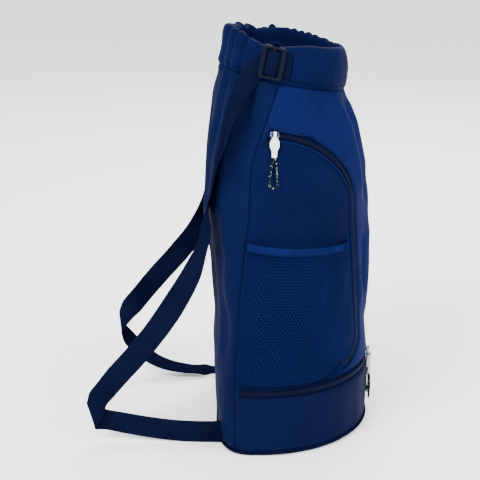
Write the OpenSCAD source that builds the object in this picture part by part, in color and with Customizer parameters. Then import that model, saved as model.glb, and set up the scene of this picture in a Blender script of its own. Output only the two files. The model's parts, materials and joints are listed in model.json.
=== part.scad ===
// Racket backpack: a soft bucket bag with a cinched collar, a zipped side pocket, two mesh
// pockets, a zipped shoe compartment in its base and two webbing shoulder straps.
// +X is the front of the bag, -X the side worn against the back, -Y the wearer's left.

/* [Bag] */
// Width across the bag at the zip ring, side to side
bag_width = 244; // [203:1:293]
// Level of the seam between the body and the collar
body_height = 386; // [321:1:464]
// Height of the gathered collar above its seam
collar_height = 44; // [37:1:52]
// Width of the collar
collar_width = 160; // [134:1:190]
// Depth of the collar from back to front
collar_depth = 128; // [108:1:140]
// Distance from the origin back to the wearer's side at the base
base_back = 82; // [70:1:96]
// Thickness of the lined cloth
cloth = 1.2; // [0.8:0.1:1.6]

/* [Base] */
// Level of the zip ring round the shoe compartment
ring_level = 71; // [59:1:86]
// Thickness of the sewn base cloth
base_cloth = 2; // [1.5:0.1:3]
// Thickness of the stiffener board in the base
board = 2.4; // [1.6:0.1:4]

/* [Zips] */
// Width of cloth tape that shows each side of a zip's centre
zip_reveal = 5.5; // [5:0.1:7]
// Hidden width of each half of the zip tape, from the centre of the zip
tape_reach = 9; // [8:0.5:11]
// Half width of the closed chain
chain_half = 2.5; // [2:0.1:3]
// Length of a moulded zip pull
pull_length = 24; // [18:1:30]
// Width of a moulded zip pull
pull_width = 9.5; // [7:0.5:12]
// Diameter of the cord on a zip pull
pull_cord = 2; // [1.5:0.1:2.6]

/* [Mesh pockets] */
// Height of a mesh pocket above the zip ring
pocket_height = 157; // [131:1:180]
// How far a mesh pocket stands off the side panel
pocket_bulge = 14; // [11.5:0.5:17]
// Height of the elastic binding on a mesh pocket
binding_height = 8; // [6:0.5:10]

/* [Straps] */
// Width of the webbing
webbing = 25; // [20:1:30]
// Thickness of the webbing
webbing_thick = 1.6; // [1.2:0.1:2]
// Length of a tri-glide buckle along the webbing
buckle_length = 24; // [22:1:28]
// Running gap between separate pieces
gap = 0.3; // [0.2:0.05:0.5]

/* [Hidden] */
near = -1;                       // the wearer's left, on the -Y side
far = 1;                         // the wearer's right, on the +Y side
half_width = bag_width / 2;
ring_centre_x = -35;             // the front of the zip ring is an arc about this line
ring_front = ring_centre_x + half_width;
rim_level = body_height + collar_height;
shoulder_low = body_height - 136;
shoulder_mid = body_height - 86;
shoulder_top = body_height - 41;
low_level = ring_level + (shoulder_low - ring_level) / 3;
mid_level = ring_level + (shoulder_low - ring_level) * 2 / 3;
collar_back = 64;                // from the origin back to the rim
collar_front = collar_depth - collar_back - 7;

// One row per level: level, forward slant of the level, front, back, centre line, half width,
// squareness of the back corners, squareness of the front corners
SECTIONS = [
    [0, 0, ring_front, -base_back, ring_centre_x, half_width - 1, 3.6, 2],
    [ring_level, 0, ring_front, -base_back - 4, ring_centre_x, half_width, 3.4, 2],
    [low_level, 0, ring_front - 4, -base_back - 6, -35, half_width - 1, 3.2, 2],
    [mid_level, 0.02, ring_front - 4, -base_back - 11, -34, half_width - 2, 3, 2],
    [shoulder_low, 0.06, ring_front - 4, -base_back - 14, -32.7, half_width - 6.8, 2.8, 1.87],
    [shoulder_mid, 0.11, ring_front - 10, -base_back - 11, -32.7, half_width - 6.5, 2.6, 2.12],
    [shoulder_top, 0.165, ring_front - 19, -base_back - 4, -19.4, half_width - 26.9, 2.4, 2.14],
    [body_height, 0.206, collar_front - 2, -collar_back - 12, -10.2, collar_width / 2 - 3.1, 2.2, 2],
    [body_height + collar_height / 2, 0.21, collar_front, -collar_back - 7, -8, collar_width / 2, 2.2, 2],
    [rim_level, 0.21, collar_front - 4, -collar_back, -6, collar_width / 2 - 5, 2.2, 2]
];

// Seam between the back panel and each side, as an angle from the front at a level
SEAM = [
    [0, 111.5], [ring_level, 111.5], [low_level + 23, 106.2], [shoulder_low + 6, 97.8],
    [shoulder_mid + 32, 97.5], [body_height - 3, 87], [rim_level, 87]
];

// Side zip: an arc over the top of the pocket, then a straight run down to a rounded corner
arc_x = -28.5;
arc_z = body_height - 125.3;
arc_reach = 89.3;
arc_rise = 81.2;
arc_start = 0;                   // degrees from the top of the arc
arc_end = 84;
run_foot_x = 71;
corner_x = 50;

// Slider sizes, in the slider's own frame: X along the zip, Z out from the bag
slider_length = 10;
slider_width = 8;
bail_rise = 4.4;
bail_pin = 1.4;
pull_neck = 1.8;

function section_slope(k, i) =
    let (a = SECTIONS[k - 1], b = SECTIONS[k], c = SECTIONS[k + 1],
         h0 = b[0] - a[0], h1 = c[0] - b[0],
         d0 = (b[i] - a[i]) / h0, d1 = (c[i] - b[i]) / h1,
         w0 = 2 * h1 + h0, w1 = h1 + 2 * h0)
    d0 * d1 <= 0 ? 0 : (w0 + w1) / (w0 / d0 + w1 / d1);

function section_end_slope(k, i) =
    let (last = len(SECTIONS) - 1)
    k == 0 ? (SECTIONS[1][i] - SECTIONS[0][i]) / (SECTIONS[1][0] - SECTIONS[0][0])
    : k == last ? (SECTIONS[last][i] - SECTIONS[last - 1][i]) / (SECTIONS[last][0] - SECTIONS[last - 1][0])
    : section_slope(k, i);

SLOPES = [for (k = [0 : len(SECTIONS) - 1]) [for (i = [0 : 7]) i == 0 ? 1 : section_end_slope(k, i)]];

function section_index(h, k = 0) = k >= len(SECTIONS) - 2 || h < SECTIONS[k + 1][0] ? k : section_index(h, k + 1);

// Smooth section through the rows of SECTIONS at level h
function section(h) =
    let (k = section_index(h), a = SECTIONS[k], b = SECTIONS[k + 1], w = b[0] - a[0], t = (h - a[0]) / w)
    a * ((1 + 2 * t) * (1 - t) * (1 - t)) + SLOPES[k] * (w * t * (1 - t) * (1 - t))
    + b * (t * t * (3 - 2 * t)) + SLOPES[k + 1] * (w * t * t * (t - 1));

// Point of the section at angle u from the front and level h, off wider all round
function section_point(u, h, off = 0) =
    let (s = section(h), c = cos(u), front = c >= 0, n = front ? s[7] : s[6],
         reach = front ? s[2] - s[4] + off : s[4] - s[3] + off,
         x = s[4] + (front ? 1 : -1) * reach * pow(abs(c), 2 / n),
         y = (s[5] + off) * sign(sin(u)) * pow(abs(sin(u)), 2 / n))
    [x, y, h - s[1] * x];

function unit(v) = v / norm(v);
function along_u(u, h) = (section_point(u + 1, h) - section_point(u - 1, h)) / 2;
function along_h(u, h) = (section_point(u, h + 1) - section_point(u, h - 1)) / 2;
function skin_normal(u, h) = unit(cross(along_u(u, h), along_h(u, h)));

// Point of the bag's skin, off outside it
function skin(u, h, off = 0) = section_point(u, h) + (off == 0 ? [0, 0, 0] : off * skin_normal(u, h));

// Angle and level of the skin point seen at x, z from the side
function level_at(x, z, n = 4, h = 0) = n == 0 ? h : level_at(x, z, n - 1, z + section(n == 4 ? z : h)[1] * x);
function side_at(x, z, side) =
    let (h = level_at(x, z), s = section(h), front = x >= s[4],
         r = front ? (x - s[4]) / (s[2] - s[4]) : (s[4] - x) / (s[4] - s[3]),
         c = (front ? 1 : -1) * pow(min(r, 1), (front ? s[7] : s[6]) / 2))
    [side * acos(c), h];

function seam(h) = lookup(h, SEAM);

// Centre of the side zip in side view: 0 to 1 round the arc, 1 to 2 down the run, 2 to 3 round the corner
function track_xz(t) =
    let (a = arc_start + (arc_end - arc_start) * t, top = [arc_x + arc_reach * sin(arc_end), arc_z + arc_rise * cos(arc_end)],
         foot = [run_foot_x, ring_level + 42], corner = run_foot_x - corner_x, q = 90 * (t - 2))
    t <= 1 ? [arc_x + arc_reach * sin(a), arc_z + arc_rise * cos(a)]
    : t <= 2 ? top + (foot - top) * (t - 1)
    : [corner_x + corner * cos(q), foot[1] - 25 * sin(q)];

function track(t) = let (p = track_xz(t)) side_at(p[0], p[1], near);

// Step of [angle, level] that moves a skin point by v
function skin_step(v, du, dh) =
    let (a = du * du, b = du * dh, c = dh * dh, p = v * du, q = v * dh, det = a * c - b * b)
    [(c * p - b * q) / det, (a * q - b * p) / det];

// Angle and level of the point e to the outer side of the side zip's centre
function track_side(t, e) =
    let (p = track(t), a = track(max(t - 0.02, 0)), b = track(min(t + 0.02, 3)),
         dir = unit(skin(b[0], b[1]) - skin(a[0], a[1])),
         out = cross(skin_normal(p[0], p[1]), dir))
    p + skin_step(e * out, along_u(p[0], p[1]), along_h(p[0], p[1]));

function lerp(a, b, t) = a + (b - a) * t;

// Rows of [angle, level] between a left and a right edge
function rows(left, right, n) = [for (i = [0 : len(left) - 1]) [for (j = [0 : n]) lerp(left[i], right[i], j / n)]];

// Closed slab between two grids of points of the same shape
module slab(outer, inner) {
    m = len(outer);
    n = len(outer[0]);
    count = m * n;
    polyhedron(
        points = concat([for (r = outer) each r], [for (r = inner) each r]),
        faces = concat(
            [for (i = [0 : m - 2]) for (j = [0 : n - 2]) let (a = i * n + j) each [[a, a + n, a + 1], [a + 1, a + n, a + n + 1]]],
            [for (i = [0 : m - 2]) for (j = [0 : n - 2]) let (a = count + i * n + j) each [[a, a + 1, a + n], [a + 1, a + n + 1, a + n]]],
            [for (j = [0 : n - 2]) each [[j, j + 1, count + j], [j + 1, count + j + 1, count + j]]],
            [for (j = [0 : n - 2]) let (a = (m - 1) * n + j) each [[a, count + a, a + 1], [a + 1, count + a, count + a + 1]]],
            [for (i = [0 : m - 2]) let (a = i * n) each [[a, count + a, a + n], [a + n, count + a, count + a + n]]],
            [for (i = [0 : m - 2]) let (a = i * n + n - 1) each [[a, a + n, count + a], [a + n, count + a + n, count + a]]]
        )
    );
}

// Cloth patch over a grid of [angle, level], between two distances from the skin
module patch(grid, inside, outside) {
    slab(
        [for (r = grid) [for (p = r) skin(p[0], p[1], outside)]],
        [for (r = grid) [for (p = r) skin(p[0], p[1], inside)]]
    );
}

// Cloth patch whose distance from the skin is a third value in the grid
module bulged_patch(grid, thick) {
    slab(
        [for (r = grid) [for (p = r) skin(p[0], p[1], p[2] + thick)]],
        [for (r = grid) [for (p = r) skin(p[0], p[1], p[2])]]
    );
}

// Tube of 8 sides along a list of points
module tube(path, d) {
    last = len(path) - 1;
    sides = 8;
    dirs = [for (i = [0 : last]) unit(path[min(i + 1, last)] - path[max(i - 1, 0)])];
    pts = [
        for (i = [0 : last]) let (a = unit(cross(dirs[i], [0.02, 0.03, 1] + [abs(dirs[i][2]) > 0.9 ? 3 : 0, 0, 0])), b = cross(dirs[i], a))
        for (k = [0 : sides - 1]) path[i] + d / 2 * (a * cos(360 * k / sides) + b * sin(360 * k / sides))
    ];
    polyhedron(pts, concat(
        [for (i = [0 : last - 1]) for (k = [0 : sides - 1])
            let (k2 = (k + 1) % sides) [i * sides + k, i * sides + k2, (i + 1) * sides + k2, (i + 1) * sides + k]],
        [[for (k = [0 : sides - 1]) sides - 1 - k]],
        [[for (k = [0 : sides - 1]) last * sides + k]]
    ));
}

// Places its children with X along ex and Z along ez at p
module at_frame(p, ex, ez) {
    ey = cross(ez, ex);
    translate(p) rotate([atan2(ey[2], ez[2]), asin(-ex[2]), atan2(ex[1], ex[0])]) children();
}

// ---- body panels ----

panel_low = ring_level + 7;
panel_rows = 32;
STEPS = [for (i = [0 : panel_rows]) i / panel_rows];
BACK_STEPS = [for (i = [0 : 20]) i / 20];
seam_gap = 0.4;                  // degrees between two panels at a seam
top_cut = body_height - gap;

module back_panel() color([0.11, 0.2, 0.4]) {
    low = base_cloth + gap;
    grid = [for (t = BACK_STEPS) let (h = lerp(low, top_cut, t), s = seam(h) + seam_gap)
        [for (j = [0 : 20]) [s + (360 - 2 * s) * j / 20, h]]];
    patch(grid, -cloth, 0);
}

// Outer edge of the front panel on the zipped side: round the zip, then up the back seam
zip_start = track(0);
function front_edge(t) =
    let (turn = 0.82, h = lerp(zip_start[1] + 7, top_cut, (t - turn) / (1 - turn)))
    t == 0 ? [side_at(corner_x - 13, panel_low, near)[0], panel_low]
    : t < turn ? track_side(3 * (1 - t / turn), zip_reveal) : [-seam(h), h];

module front_panel() color([0.08, 0.2, 0.46]) {
    left = [for (t = STEPS) front_edge(t)];
    right = [for (t = STEPS) let (h = lerp(panel_low, top_cut, t)) [right_edge(h), h]];
    patch(rows(left, right, 24), -cloth, 0);
}

// Seam between the front panel and the plain side on the wearer's right
function right_edge(h) = lookup(h, [[panel_low, 48], [low_level, 30], [shoulder_mid, 38], [shoulder_top, 60], [body_height, 84]]);

module right_side_panel() color([0.06, 0.17, 0.38]) {
    grid = [for (t = STEPS) let (h = lerp(panel_low, top_cut, t), a = right_edge(h) + seam_gap, b = seam(h))
        [for (j = [0 : 10]) [a + (b - a) * j / 10, h]]];
    patch(grid, -cloth, 0);
}

// Edges of the pocket panel: the back seam, and the inside of the zip
function pocket_left(t) = let (h = lerp(panel_low, zip_start[1] - 8, t)) [-seam(h), h];
function pocket_right(t) =
    t == 0 ? [side_at(corner_x - 25, panel_low, near)[0], panel_low] : track_side(3 - 2.97 * t, -zip_reveal);

module side_pocket_panel() color([0.05, 0.13, 0.3]) {
    left = [for (t = STEPS) pocket_left(t)];
    right = [for (t = STEPS) pocket_right(t)];
    patch(rows(left, right, 12), -cloth, 0);
}

module side_pocket_lining() color([0.04, 0.07, 0.16]) {
    depth = 8;
    lining = 0.6;
    grid = [for (t = [0 : 0.1 : 1]) [for (s = [0 : 0.1 : 1])
        let (p = lerp(pocket_left(0.04 + 0.9 * t), pocket_right(0.04 + 0.9 * t), 0.06 + 0.88 * s))
        [p[0], p[1], tape_low - gap - lining - depth * pow(sin(180 * s) * sin(180 * t), 0.6)]]];
    bulged_patch(grid, lining);
}

module shoe_wall() color([0.06, 0.14, 0.34]) {
    s = seam(0);
    grid = [for (h = [base_cloth + gap, 12, 26, 42, 56, ring_level - zip_reveal])
        [for (j = [0 : 38]) [-s + 2 * s * j / 38, h]]];
    patch(grid, -cloth, 0);
}

function outline(h, off) = [for (i = [0 : 89]) let (p = section_point(4 * i, h, off)) [p[0], p[1]]];

module base_panel() color([0.05, 0.1, 0.26]) linear_extrude(base_cloth) polygon(outline(0, 0));

module base_board() color([0.2, 0.2, 0.2])
    translate([0, 0, base_cloth + gap]) linear_extrude(board) polygon(outline(0, -cloth - 3));

module divider_floor() color([0.04, 0.07, 0.16])
    translate([0, 0, ring_level + 8]) linear_extrude(cloth) polygon(outline(ring_level + 8, tape_low - gap));

// ---- collar ----

tunnel = 5;                      // clear depth of the webbing tunnel in the collar
facing = 1;                      // thickness of the inner facing
web_level = body_height + collar_height / 2 - 2;
mouth_u = 88;                    // angle of the tunnel's mouths
mouth_length = 12.5;
tail_off = 0.6;                  // how far the webbing stands off the collar outside

module collar_casing() color([0.07, 0.14, 0.3]) difference() {
    seg = 72;
    h0 = body_height + gap;
    h1 = body_height + collar_height / 2;
    h2 = rim_level;
    outer_in = -cloth;
    face_out = -cloth - tunnel;
    face_in = face_out - facing;
    profile = [
        [h0, 0], [h0 + 9, 0], [h1, 0], [h2 - 4, 0], [h2, -2.5], [h2, face_in + 2.5], [h2 - 4, face_in],
        [h1, face_in], [h0, face_in], [h0, face_out], [h1, face_out], [h2 - 3, face_out], [h2 - 3, outer_in],
        [h1, outer_in], [h0, outer_in]
    ];
    n = len(profile);
    polyhedron(
        [for (i = [0 : seg - 1]) for (q = profile) skin(360 * i / seg, q[0], q[1])],
        [for (i = [0 : seg - 1]) for (k = [0 : n - 1])
            let (a = i * n + k, b = i * n + (k + 1) % n, c = ((i + 1) % seg) * n + (k + 1) % n, d = ((i + 1) % seg) * n + k)
            each [[a, b, c], [a, c, d]]]
    );
    for (side = [near, far]) let (u = side * mouth_u)
        at_frame(skin(u, web_level), unit(along_u(u, web_level)), skin_normal(u, web_level))
            translate([-mouth_length / 2, -webbing / 2 - 1, -cloth - 3.6]) cube([mouth_length, webbing + 2, 7]);
}

// Webbing that runs round the front inside the collar and out through both mouths
module cinch_webbing() color([0.15, 0.21, 0.32]) {
    tail = 27;
    inside = -cloth - tunnel / 2 - webbing_thick / 2;
    stations = concat(
        [for (a = [0 : 3 : tail]) [mouth_u + 3.5 + (tail - a), tail_off]],
        [[mouth_u + 1, -cloth / 2 - webbing_thick / 2], [mouth_u - 4, inside]],
        [for (a = [mouth_u - 10 : -6 : 0]) [a, inside]]
    );
    half = [for (s = stations) [-s[0], s[1]]];
    other = [for (i = [len(stations) - 1 : -1 : 0]) if (stations[i][0] > 1) stations[i]];
    grid = [for (s = concat(half, other))
        [for (h = [web_level - webbing / 2, web_level, web_level + webbing / 2]) [s[0], h, s[1]]]];
    bulged_patch(grid, webbing_thick);
}

// ---- mesh pockets ----

function pocket_top(s) = ring_level + pocket_height - 7 * sin(180 * s);
function pocket_grid_edge(s, t, side) =
    let (h = lerp(ring_level + 9, pocket_top(s) - binding_height - gap, t))
    side * lerp(seam(h) - 1.5, pocket_front(h), s);
function pocket_front(h) = lookup(h, [[ring_level, 50], [ring_level + 20, 40], [low_level, 35.5], [shoulder_low, 41]]);
function bulge_at(s, t) = gap + 0.2 + pocket_bulge * pow(max(sin(180 * s), 0), 0.6) * pow(sin(90 * min(1, 3 * t)), 0.7);

module mesh_pocket(side) color([0.08, 0.15, 0.34]) {
    grid = [for (t = [0, 0.05, 0.12, 0.22, 0.33, 0.5, 0.66, 0.83, 1]) [for (s = [0 : 1 / 12 : 1.001])
        let (h = lerp(ring_level + 9, pocket_top(s) - binding_height - gap, t)) [pocket_grid_edge(s, t, side), h, bulge_at(s, t)]]];
    bulged_patch(side > 0 ? grid : [for (r = grid) [for (j = [len(r) - 1 : -1 : 0]) r[j]]], 0.8);
}

module pocket_binding(side) color([0.13, 0.21, 0.42]) {
    grid = [for (k = [0, 1]) [for (s = [0 : 1 / 12 : 1.001])
        let (h = pocket_top(s) - binding_height * (1 - k), u = side * lerp(seam(h) - 1.5, pocket_front(h), s))
        [u, h, bulge_at(s, 1) - 0.3]]];
    bulged_patch(side > 0 ? grid : [for (r = grid) [for (j = [len(r) - 1 : -1 : 0]) r[j]]], 1.4);
}

module left_mesh_pocket() mesh_pocket(near);
module right_mesh_pocket() mesh_pocket(far);
module left_pocket_binding() pocket_binding(near);
module right_pocket_binding() pocket_binding(far);

// ---- zips ----

chain_low = -2.2;                // bottom of the chain, from the skin
chain_top = -0.5;
tape_low = -2.6;
tape_top = -cloth - gap - 0.35;
chain_slot = 0.75;               // half of the slot that the slider's post runs in

track_steps = concat([for (i = [0 : 22]) i / 22], [for (i = [1 : 6]) 1 + i / 6], [for (i = [1 : 5]) 2 + i / 5]);

module track_strip(e0, e1, inside, outside) {
    patch([for (t = track_steps) [track_side(t, e1), track_side(t, e0)]], inside, outside);
}

module side_zip_tape() color([0.06, 0.1, 0.22]) {
    track_strip(chain_half + gap, tape_reach, tape_low, tape_top);
    track_strip(-tape_reach, -chain_half - gap, tape_low, tape_top);
}

module side_zip_chain() color([0.1, 0.14, 0.26]) {
    track_strip(chain_slot, chain_half, chain_low, chain_top);
    track_strip(-chain_half, -chain_slot, chain_low, chain_top);
}

// Frame of the side zip at track position t: X along the zip, Z out from the bag
module on_track(t) {
    p = track(t);
    a = track(max(t - 0.02, 0));
    b = track(t + 0.02);
    n = skin_normal(p[0], p[1]);
    dir = unit(skin(b[0], b[1]) - skin(a[0], a[1]));
    at_frame(skin(p[0], p[1]), unit(dir - n * (dir * n)), n) children();
}

// Frame of the shoe zip at angle u: X along the zip, Z out from the bag
module on_ring(u) {
    at_frame(skin(u, ring_level), [-sin(u), cos(u), 0], [cos(u), sin(u), 0]) children();
}

module stop() translate([-1, -chain_half, tape_low - gap]) cube([2, 2 * chain_half, 1.4]);

module side_zip_stops() color([0.3, 0.32, 0.36]) {
    on_track(0) translate([-2.6, 0, 0]) stop();
    on_track(3) translate([1.3, 0, 0]) stop();
}

zip_end_u = 106;                 // angle of each end of the shoe zip
// Strip of the shoe zip between two levels measured from its centre
module ring_strip(e0, e1, inside, outside) {
    reach = zip_end_u;
    patch([for (e = [e0, e1]) [for (j = [0 : 36]) [-reach + 2 * reach * j / 36, ring_level + e]]], inside, outside);
}

module shoe_zip_tape() color([0.06, 0.1, 0.22]) {
    ring_strip(chain_half + gap, zip_reveal + 1.2, tape_low, tape_top);
    ring_strip(-tape_reach, -chain_half - gap, tape_low, tape_top);
}

module shoe_zip_chain() color([0.1, 0.14, 0.26]) {
    ring_strip(chain_slot, chain_half, chain_low, chain_top);
    ring_strip(-chain_half, -chain_slot, chain_low, chain_top);
}

module shoe_zip_stops() color([0.3, 0.32, 0.36])
    for (side = [-1, 1]) on_ring(side * zip_end_u) translate([side * 1.6, 0, 0]) stop();

// Slider in its own frame; its nose post runs in the slot between the two chain halves
module slider() color([0.16, 0.2, 0.3]) {
    plate = 1.3;
    top = chain_top + 0.75;
    under = tape_low - gap - 0.25;
    translate([-slider_length / 2, -slider_width / 2, top]) cube([slider_length, slider_width, plate]);
    translate([-slider_length / 2 + 1, -slider_width / 2 + 0.8, under - plate]) cube([slider_length - 2, slider_width - 1.6, plate]);
    translate([-1.5, -0.4, under - 0.1]) cube([3, 0.8, top - under + 0.2]);
    for (x = [-3.4, 2])
        translate([x, -1, top + plate - 0.1]) cube([1.4, 2, bail_rise - top - plate + 0.8]);
    translate([-3.4, 0, bail_rise]) rotate([0, 90, 0]) cylinder(d = bail_pin, h = 6.8, $fn = 32);
}

pin_clear = 0.1;
// Moulded pull hanging from the slider's pin; its own -Y is the way it hangs
module pull() color([0.9, 0.91, 0.92]) difference() {
    neck = pull_neck;
    t = 3;
    union() {
        rotate([0, 90, 0]) translate([0, 0, -neck]) cylinder(d = 4.2, h = 2 * neck, $fn = 32);
        translate([-neck, -5, -t / 2]) cube([2 * neck, 4, t]);
        translate([0, -4, -t / 2]) linear_extrude(t) polygon([
            [-2, 0.4], [2, 0.4], [pull_width / 2, -4.5], [pull_width / 2, -9], [2.6, -14], [2.6, 4 - pull_length],
            [-2.6, 4 - pull_length], [-2.6, -14], [-pull_width / 2, -9], [-pull_width / 2, -4.5]
        ]);
    }
    rotate([0, 90, 0]) translate([0, 0, -neck - 1]) cylinder(d = bail_pin + 2 * pin_clear, h = 2 * neck + 2, $fn = 32);
}

// Cord loop below the pull: both ends come out of its foot
LOOP = [
    [-1.3, -0.25, 0], [-1.5, -3, 0.2], [-2.2, -8, 0.5], [-3.1, -14, 0.7], [-3.7, -20, 0.5], [-4, -25, 0.2],
    [-3.5, -28.2, 0], [-2, -30.4, 0], [0, -31, 0], [2, -30.4, 0], [3.5, -28.2, 0], [4, -25, -0.2],
    [3.7, -20, -0.5], [3.1, -14, -0.7], [2.2, -8, -0.5], [1.5, -3, -0.2], [1.3, -0.25, 0]
];
module pull_loop() color([0.12, 0.15, 0.22]) tube([for (p = LOOP) p + [0, -pull_length, 0]], pull_cord);

// Children hang from the slider's pin, turned down by lean towards the bag
module hang(lean) translate([0, 0, bail_rise]) rotate([lean, 0, 0]) children();

slider_t = 0.045;                // rest place of the side slider on its track
side_lean = 5;
ring_rest = 4.2;                 // angle of each shoe slider from the front at rest

module side_zip_slider() on_track(slider_t) slider();
module side_zip_pull() on_track(slider_t) hang(side_lean) pull();
module side_zip_cord() on_track(slider_t) hang(side_lean) pull_loop();

module left_shoe_slider() on_ring(-ring_rest) slider();
module right_shoe_slider() on_ring(ring_rest) slider();
module left_shoe_pull() on_ring(-ring_rest) hang(0) pull();
module right_shoe_pull() on_ring(ring_rest) hang(0) pull();
module left_shoe_cord() on_ring(-ring_rest) hang(0) pull_loop();
module right_shoe_cord() on_ring(ring_rest) hang(0) pull_loop();

// ---- buckles ----

buckle_u = 102.5;
buckle_height = webbing + 9;
bar = 3;                         // width of a buckle's outer bars
mid_bar = 4.4;
buckle_low = tail_off + webbing_thick + gap;

module on_collar(side) {
    u = side * buckle_u;
    n = skin_normal(u, web_level);
    dir = unit(along_u(u, web_level)) * -side;
    at_frame(skin(u, web_level), unit(dir - n * (dir * n)), n) children();
}

module buckle(side) color([0.08, 0.13, 0.24]) on_collar(side) {
    slot = buckle_length / 2 - bar - mid_bar / 2;
    difference() {
        translate([-buckle_length / 2, -buckle_height / 2, buckle_low]) cube([buckle_length, buckle_height, 2.8]);
        for (x = [mid_bar / 2, -mid_bar / 2 - slot])
            translate([x, -webbing / 2 - 1, buckle_low - 1]) cube([slot, webbing + 2, 6]);
    }
}

// Short arch of webbing over the buckle's middle bar
module buckle_wrap(side) color([0.15, 0.21, 0.32]) on_collar(side) {
    w = mid_bar / 2 + gap;
    top = buckle_low + 2.8 + gap;
    th = webbing_thick;
    rotate([90, 0, 0]) translate([0, 0, -webbing / 2]) linear_extrude(webbing) polygon([
        [-w - th - 1.2, buckle_low - gap + 0.2], [-w - 1.2, buckle_low - gap + 0.2], [-w, buckle_low + 0.6], [-w, top - 0.6], [-w + 0.6, top],
        [w - 0.6, top], [w, top - 0.6], [w, buckle_low + 0.6], [w + 1.2, buckle_low - gap + 0.2],
        [w + th + 1.2, buckle_low - gap + 0.2], [w + th, buckle_low + 1], [w + th, top + 0.2], [w, top + th],
        [-w, top + th], [-w - th, top + 0.2], [-w - th, buckle_low + 1]
    ]);
}

module left_buckle() buckle(near);
module right_buckle() buckle(far);
module left_buckle_wrap() buckle_wrap(near);
module right_buckle_wrap() buckle_wrap(far);

// ---- shoulder straps ----

// Ribbon through rings of [centre, width direction, width]
module ribbon(rings) {
    last = len(rings) - 1;
    dirs = [for (i = [0 : last]) unit(rings[min(i + 1, last)][0] - rings[max(i - 1, 0)][0])];
    wide = [for (r = rings) unit(r[1]) * r[2] / 2];
    thick = [for (i = [0 : last]) unit(cross(dirs[i], wide[i])) * webbing_thick / 2];
    slab(
        [for (i = [0 : last]) [rings[i][0] - wide[i] + thick[i], rings[i][0] + wide[i] + thick[i]]],
        [for (i = [0 : last]) [rings[i][0] - wide[i] - thick[i], rings[i][0] + wide[i] - thick[i]]]
    );
}

// Fixed top stretch of a strap, lying on the bag: [angle, level, turn of its width from the
// skin's level direction towards upright]
TOP_STRETCH = [
    [119.8, 0, 90], [123.5, -3, 72], [126.5, -9, 50], [127.5, -18, 28], [127.5, -30, 12],
    [127, -46, 4], [127, -62, 0], [130, -84, 0], [136, -106, 0], [141, -124, 0]
];
lie = 1.9;                       // how far the middle of the webbing stands off the skin
end_x = -91.5;                     // where the free loop starts, beside the bag's back corner
end_y = 92;
end_z = shoulder_low - 5;

module strap_stretch(side) color([0.15, 0.21, 0.32]) {
    ribbon(concat(
        [for (s = TOP_STRETCH) let (u = side * s[0], h = web_level + s[1])
            [skin(u, h, lie), unit(along_u(u, h)) * side * cos(s[2]) + unit(along_h(u, h)) * sin(s[2]), webbing]],
        [[[end_x, side * end_y, end_z], [-0.55, -side * 0.83, 0.1], webbing]]
    ));
}

module left_shoulder_strap() strap_stretch(near);
module right_shoulder_strap() strap_stretch(far);

// Free loops, from beside the bag down to the floor: [centre, width direction]
LEFT_LOOP = [
    [[end_x - 0.4, -92, end_z - 1.2], [0.55, -0.83, -0.1]], [[-96, -92, 224], [0.5, -0.84, -0.2]],
    [[-104, -92, 200], [0.62, -0.68, -0.4]], [[-118, -91, 167], [0.78, -0.2, -0.6]],
    [[-142, -90, 134], [0.79, 0, -0.61]], [[-168, -90, 101], [0.79, 0, -0.61]], [[-197, -90, 63], [0.75, 0, -0.66]]
];
floor_z = webbing / 2 + 0.4;     // middle of the webbing where it stands on its edge
LEFT_FLOOR = [
    [[-205, -87, 25], [0.12, 0, 1]], [[-184, -87.2, 17.5], [0.12, 0, 1]], [[-156, -88, 14], [0.04, 0, 1]],
    [[-124, -89, floor_z], [0, 0, 1]], [[-100, -90, floor_z], [0, 0, 1]], [[-85.2, -90, floor_z], [0, 0, 1]]
];

module left_strap_loop() color([0.15, 0.21, 0.32]) {
    fold = [-220.4, -88.5, 32.8];
    crease = [0.307, 0, -0.952];
    ribbon(concat(
        [for (r = LEFT_LOOP) [r[0], r[1], webbing]],
        [[fold + [1.6, -1.4, 0.5], crease, 30], [fold, crease, 30.5], [fold + [1.6, 1.4, 0.5], crease, 30]],
        [for (r = LEFT_FLOOR) [r[0], -r[1], webbing]]
    ));
}

RIGHT_LOOP = [
    [[end_x - 0.4, 92, end_z - 1.2], [0.55, 0.83, -0.1]], [[-97, 92, 220], [0.6, 0.75, -0.25]],
    [[-108, 91, 191], [0.78, 0.3, -0.5]], [[-128, 89, 164], [0.82, 0, -0.57]], [[-156, 89, 132], [0.8, 0, -0.6]],
    [[-184, 89, 98], [0.8, 0, -0.6]]
];
// The last two rings are the webbing folded in half into its tab
RIGHT_FLOOR = [
    [[-193, 92, 50], [0.5, 0.5, 0.7], 1], [[-177, 93, 31], [0.4, 0.75, 0.5], 1], [[-158, 93, 17.5], [0.25, 0.92, 0.3], 1],
    [[-128, 92, 9], [0.1, 1, 0.1], 1], [[-106, 91, 7.4], [0, 1, 0.25], 0.8], [[-92, 90, 7.4], [0, 0.3, 1], 0.4],
    [[-85.2, 90, 7.4], [0, 0, 1], 0.4]
];

module right_strap_loop() color([0.15, 0.21, 0.32]) {
    fold = [-201.5, 90.5, 73];
    crease = [0.2, 0.1, -0.97];
    ribbon(concat(
        [for (r = RIGHT_LOOP) [r[0], r[1], webbing]],
        [[fold + [1.8, -1.5, 0.6], crease, 25], [fold, crease, 26], [fold + [1.8, 1.5, 0.4], crease, 25]],
        [for (r = RIGHT_FLOOR) [r[0], -r[1], webbing * r[2]]]
    ));
}

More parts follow.
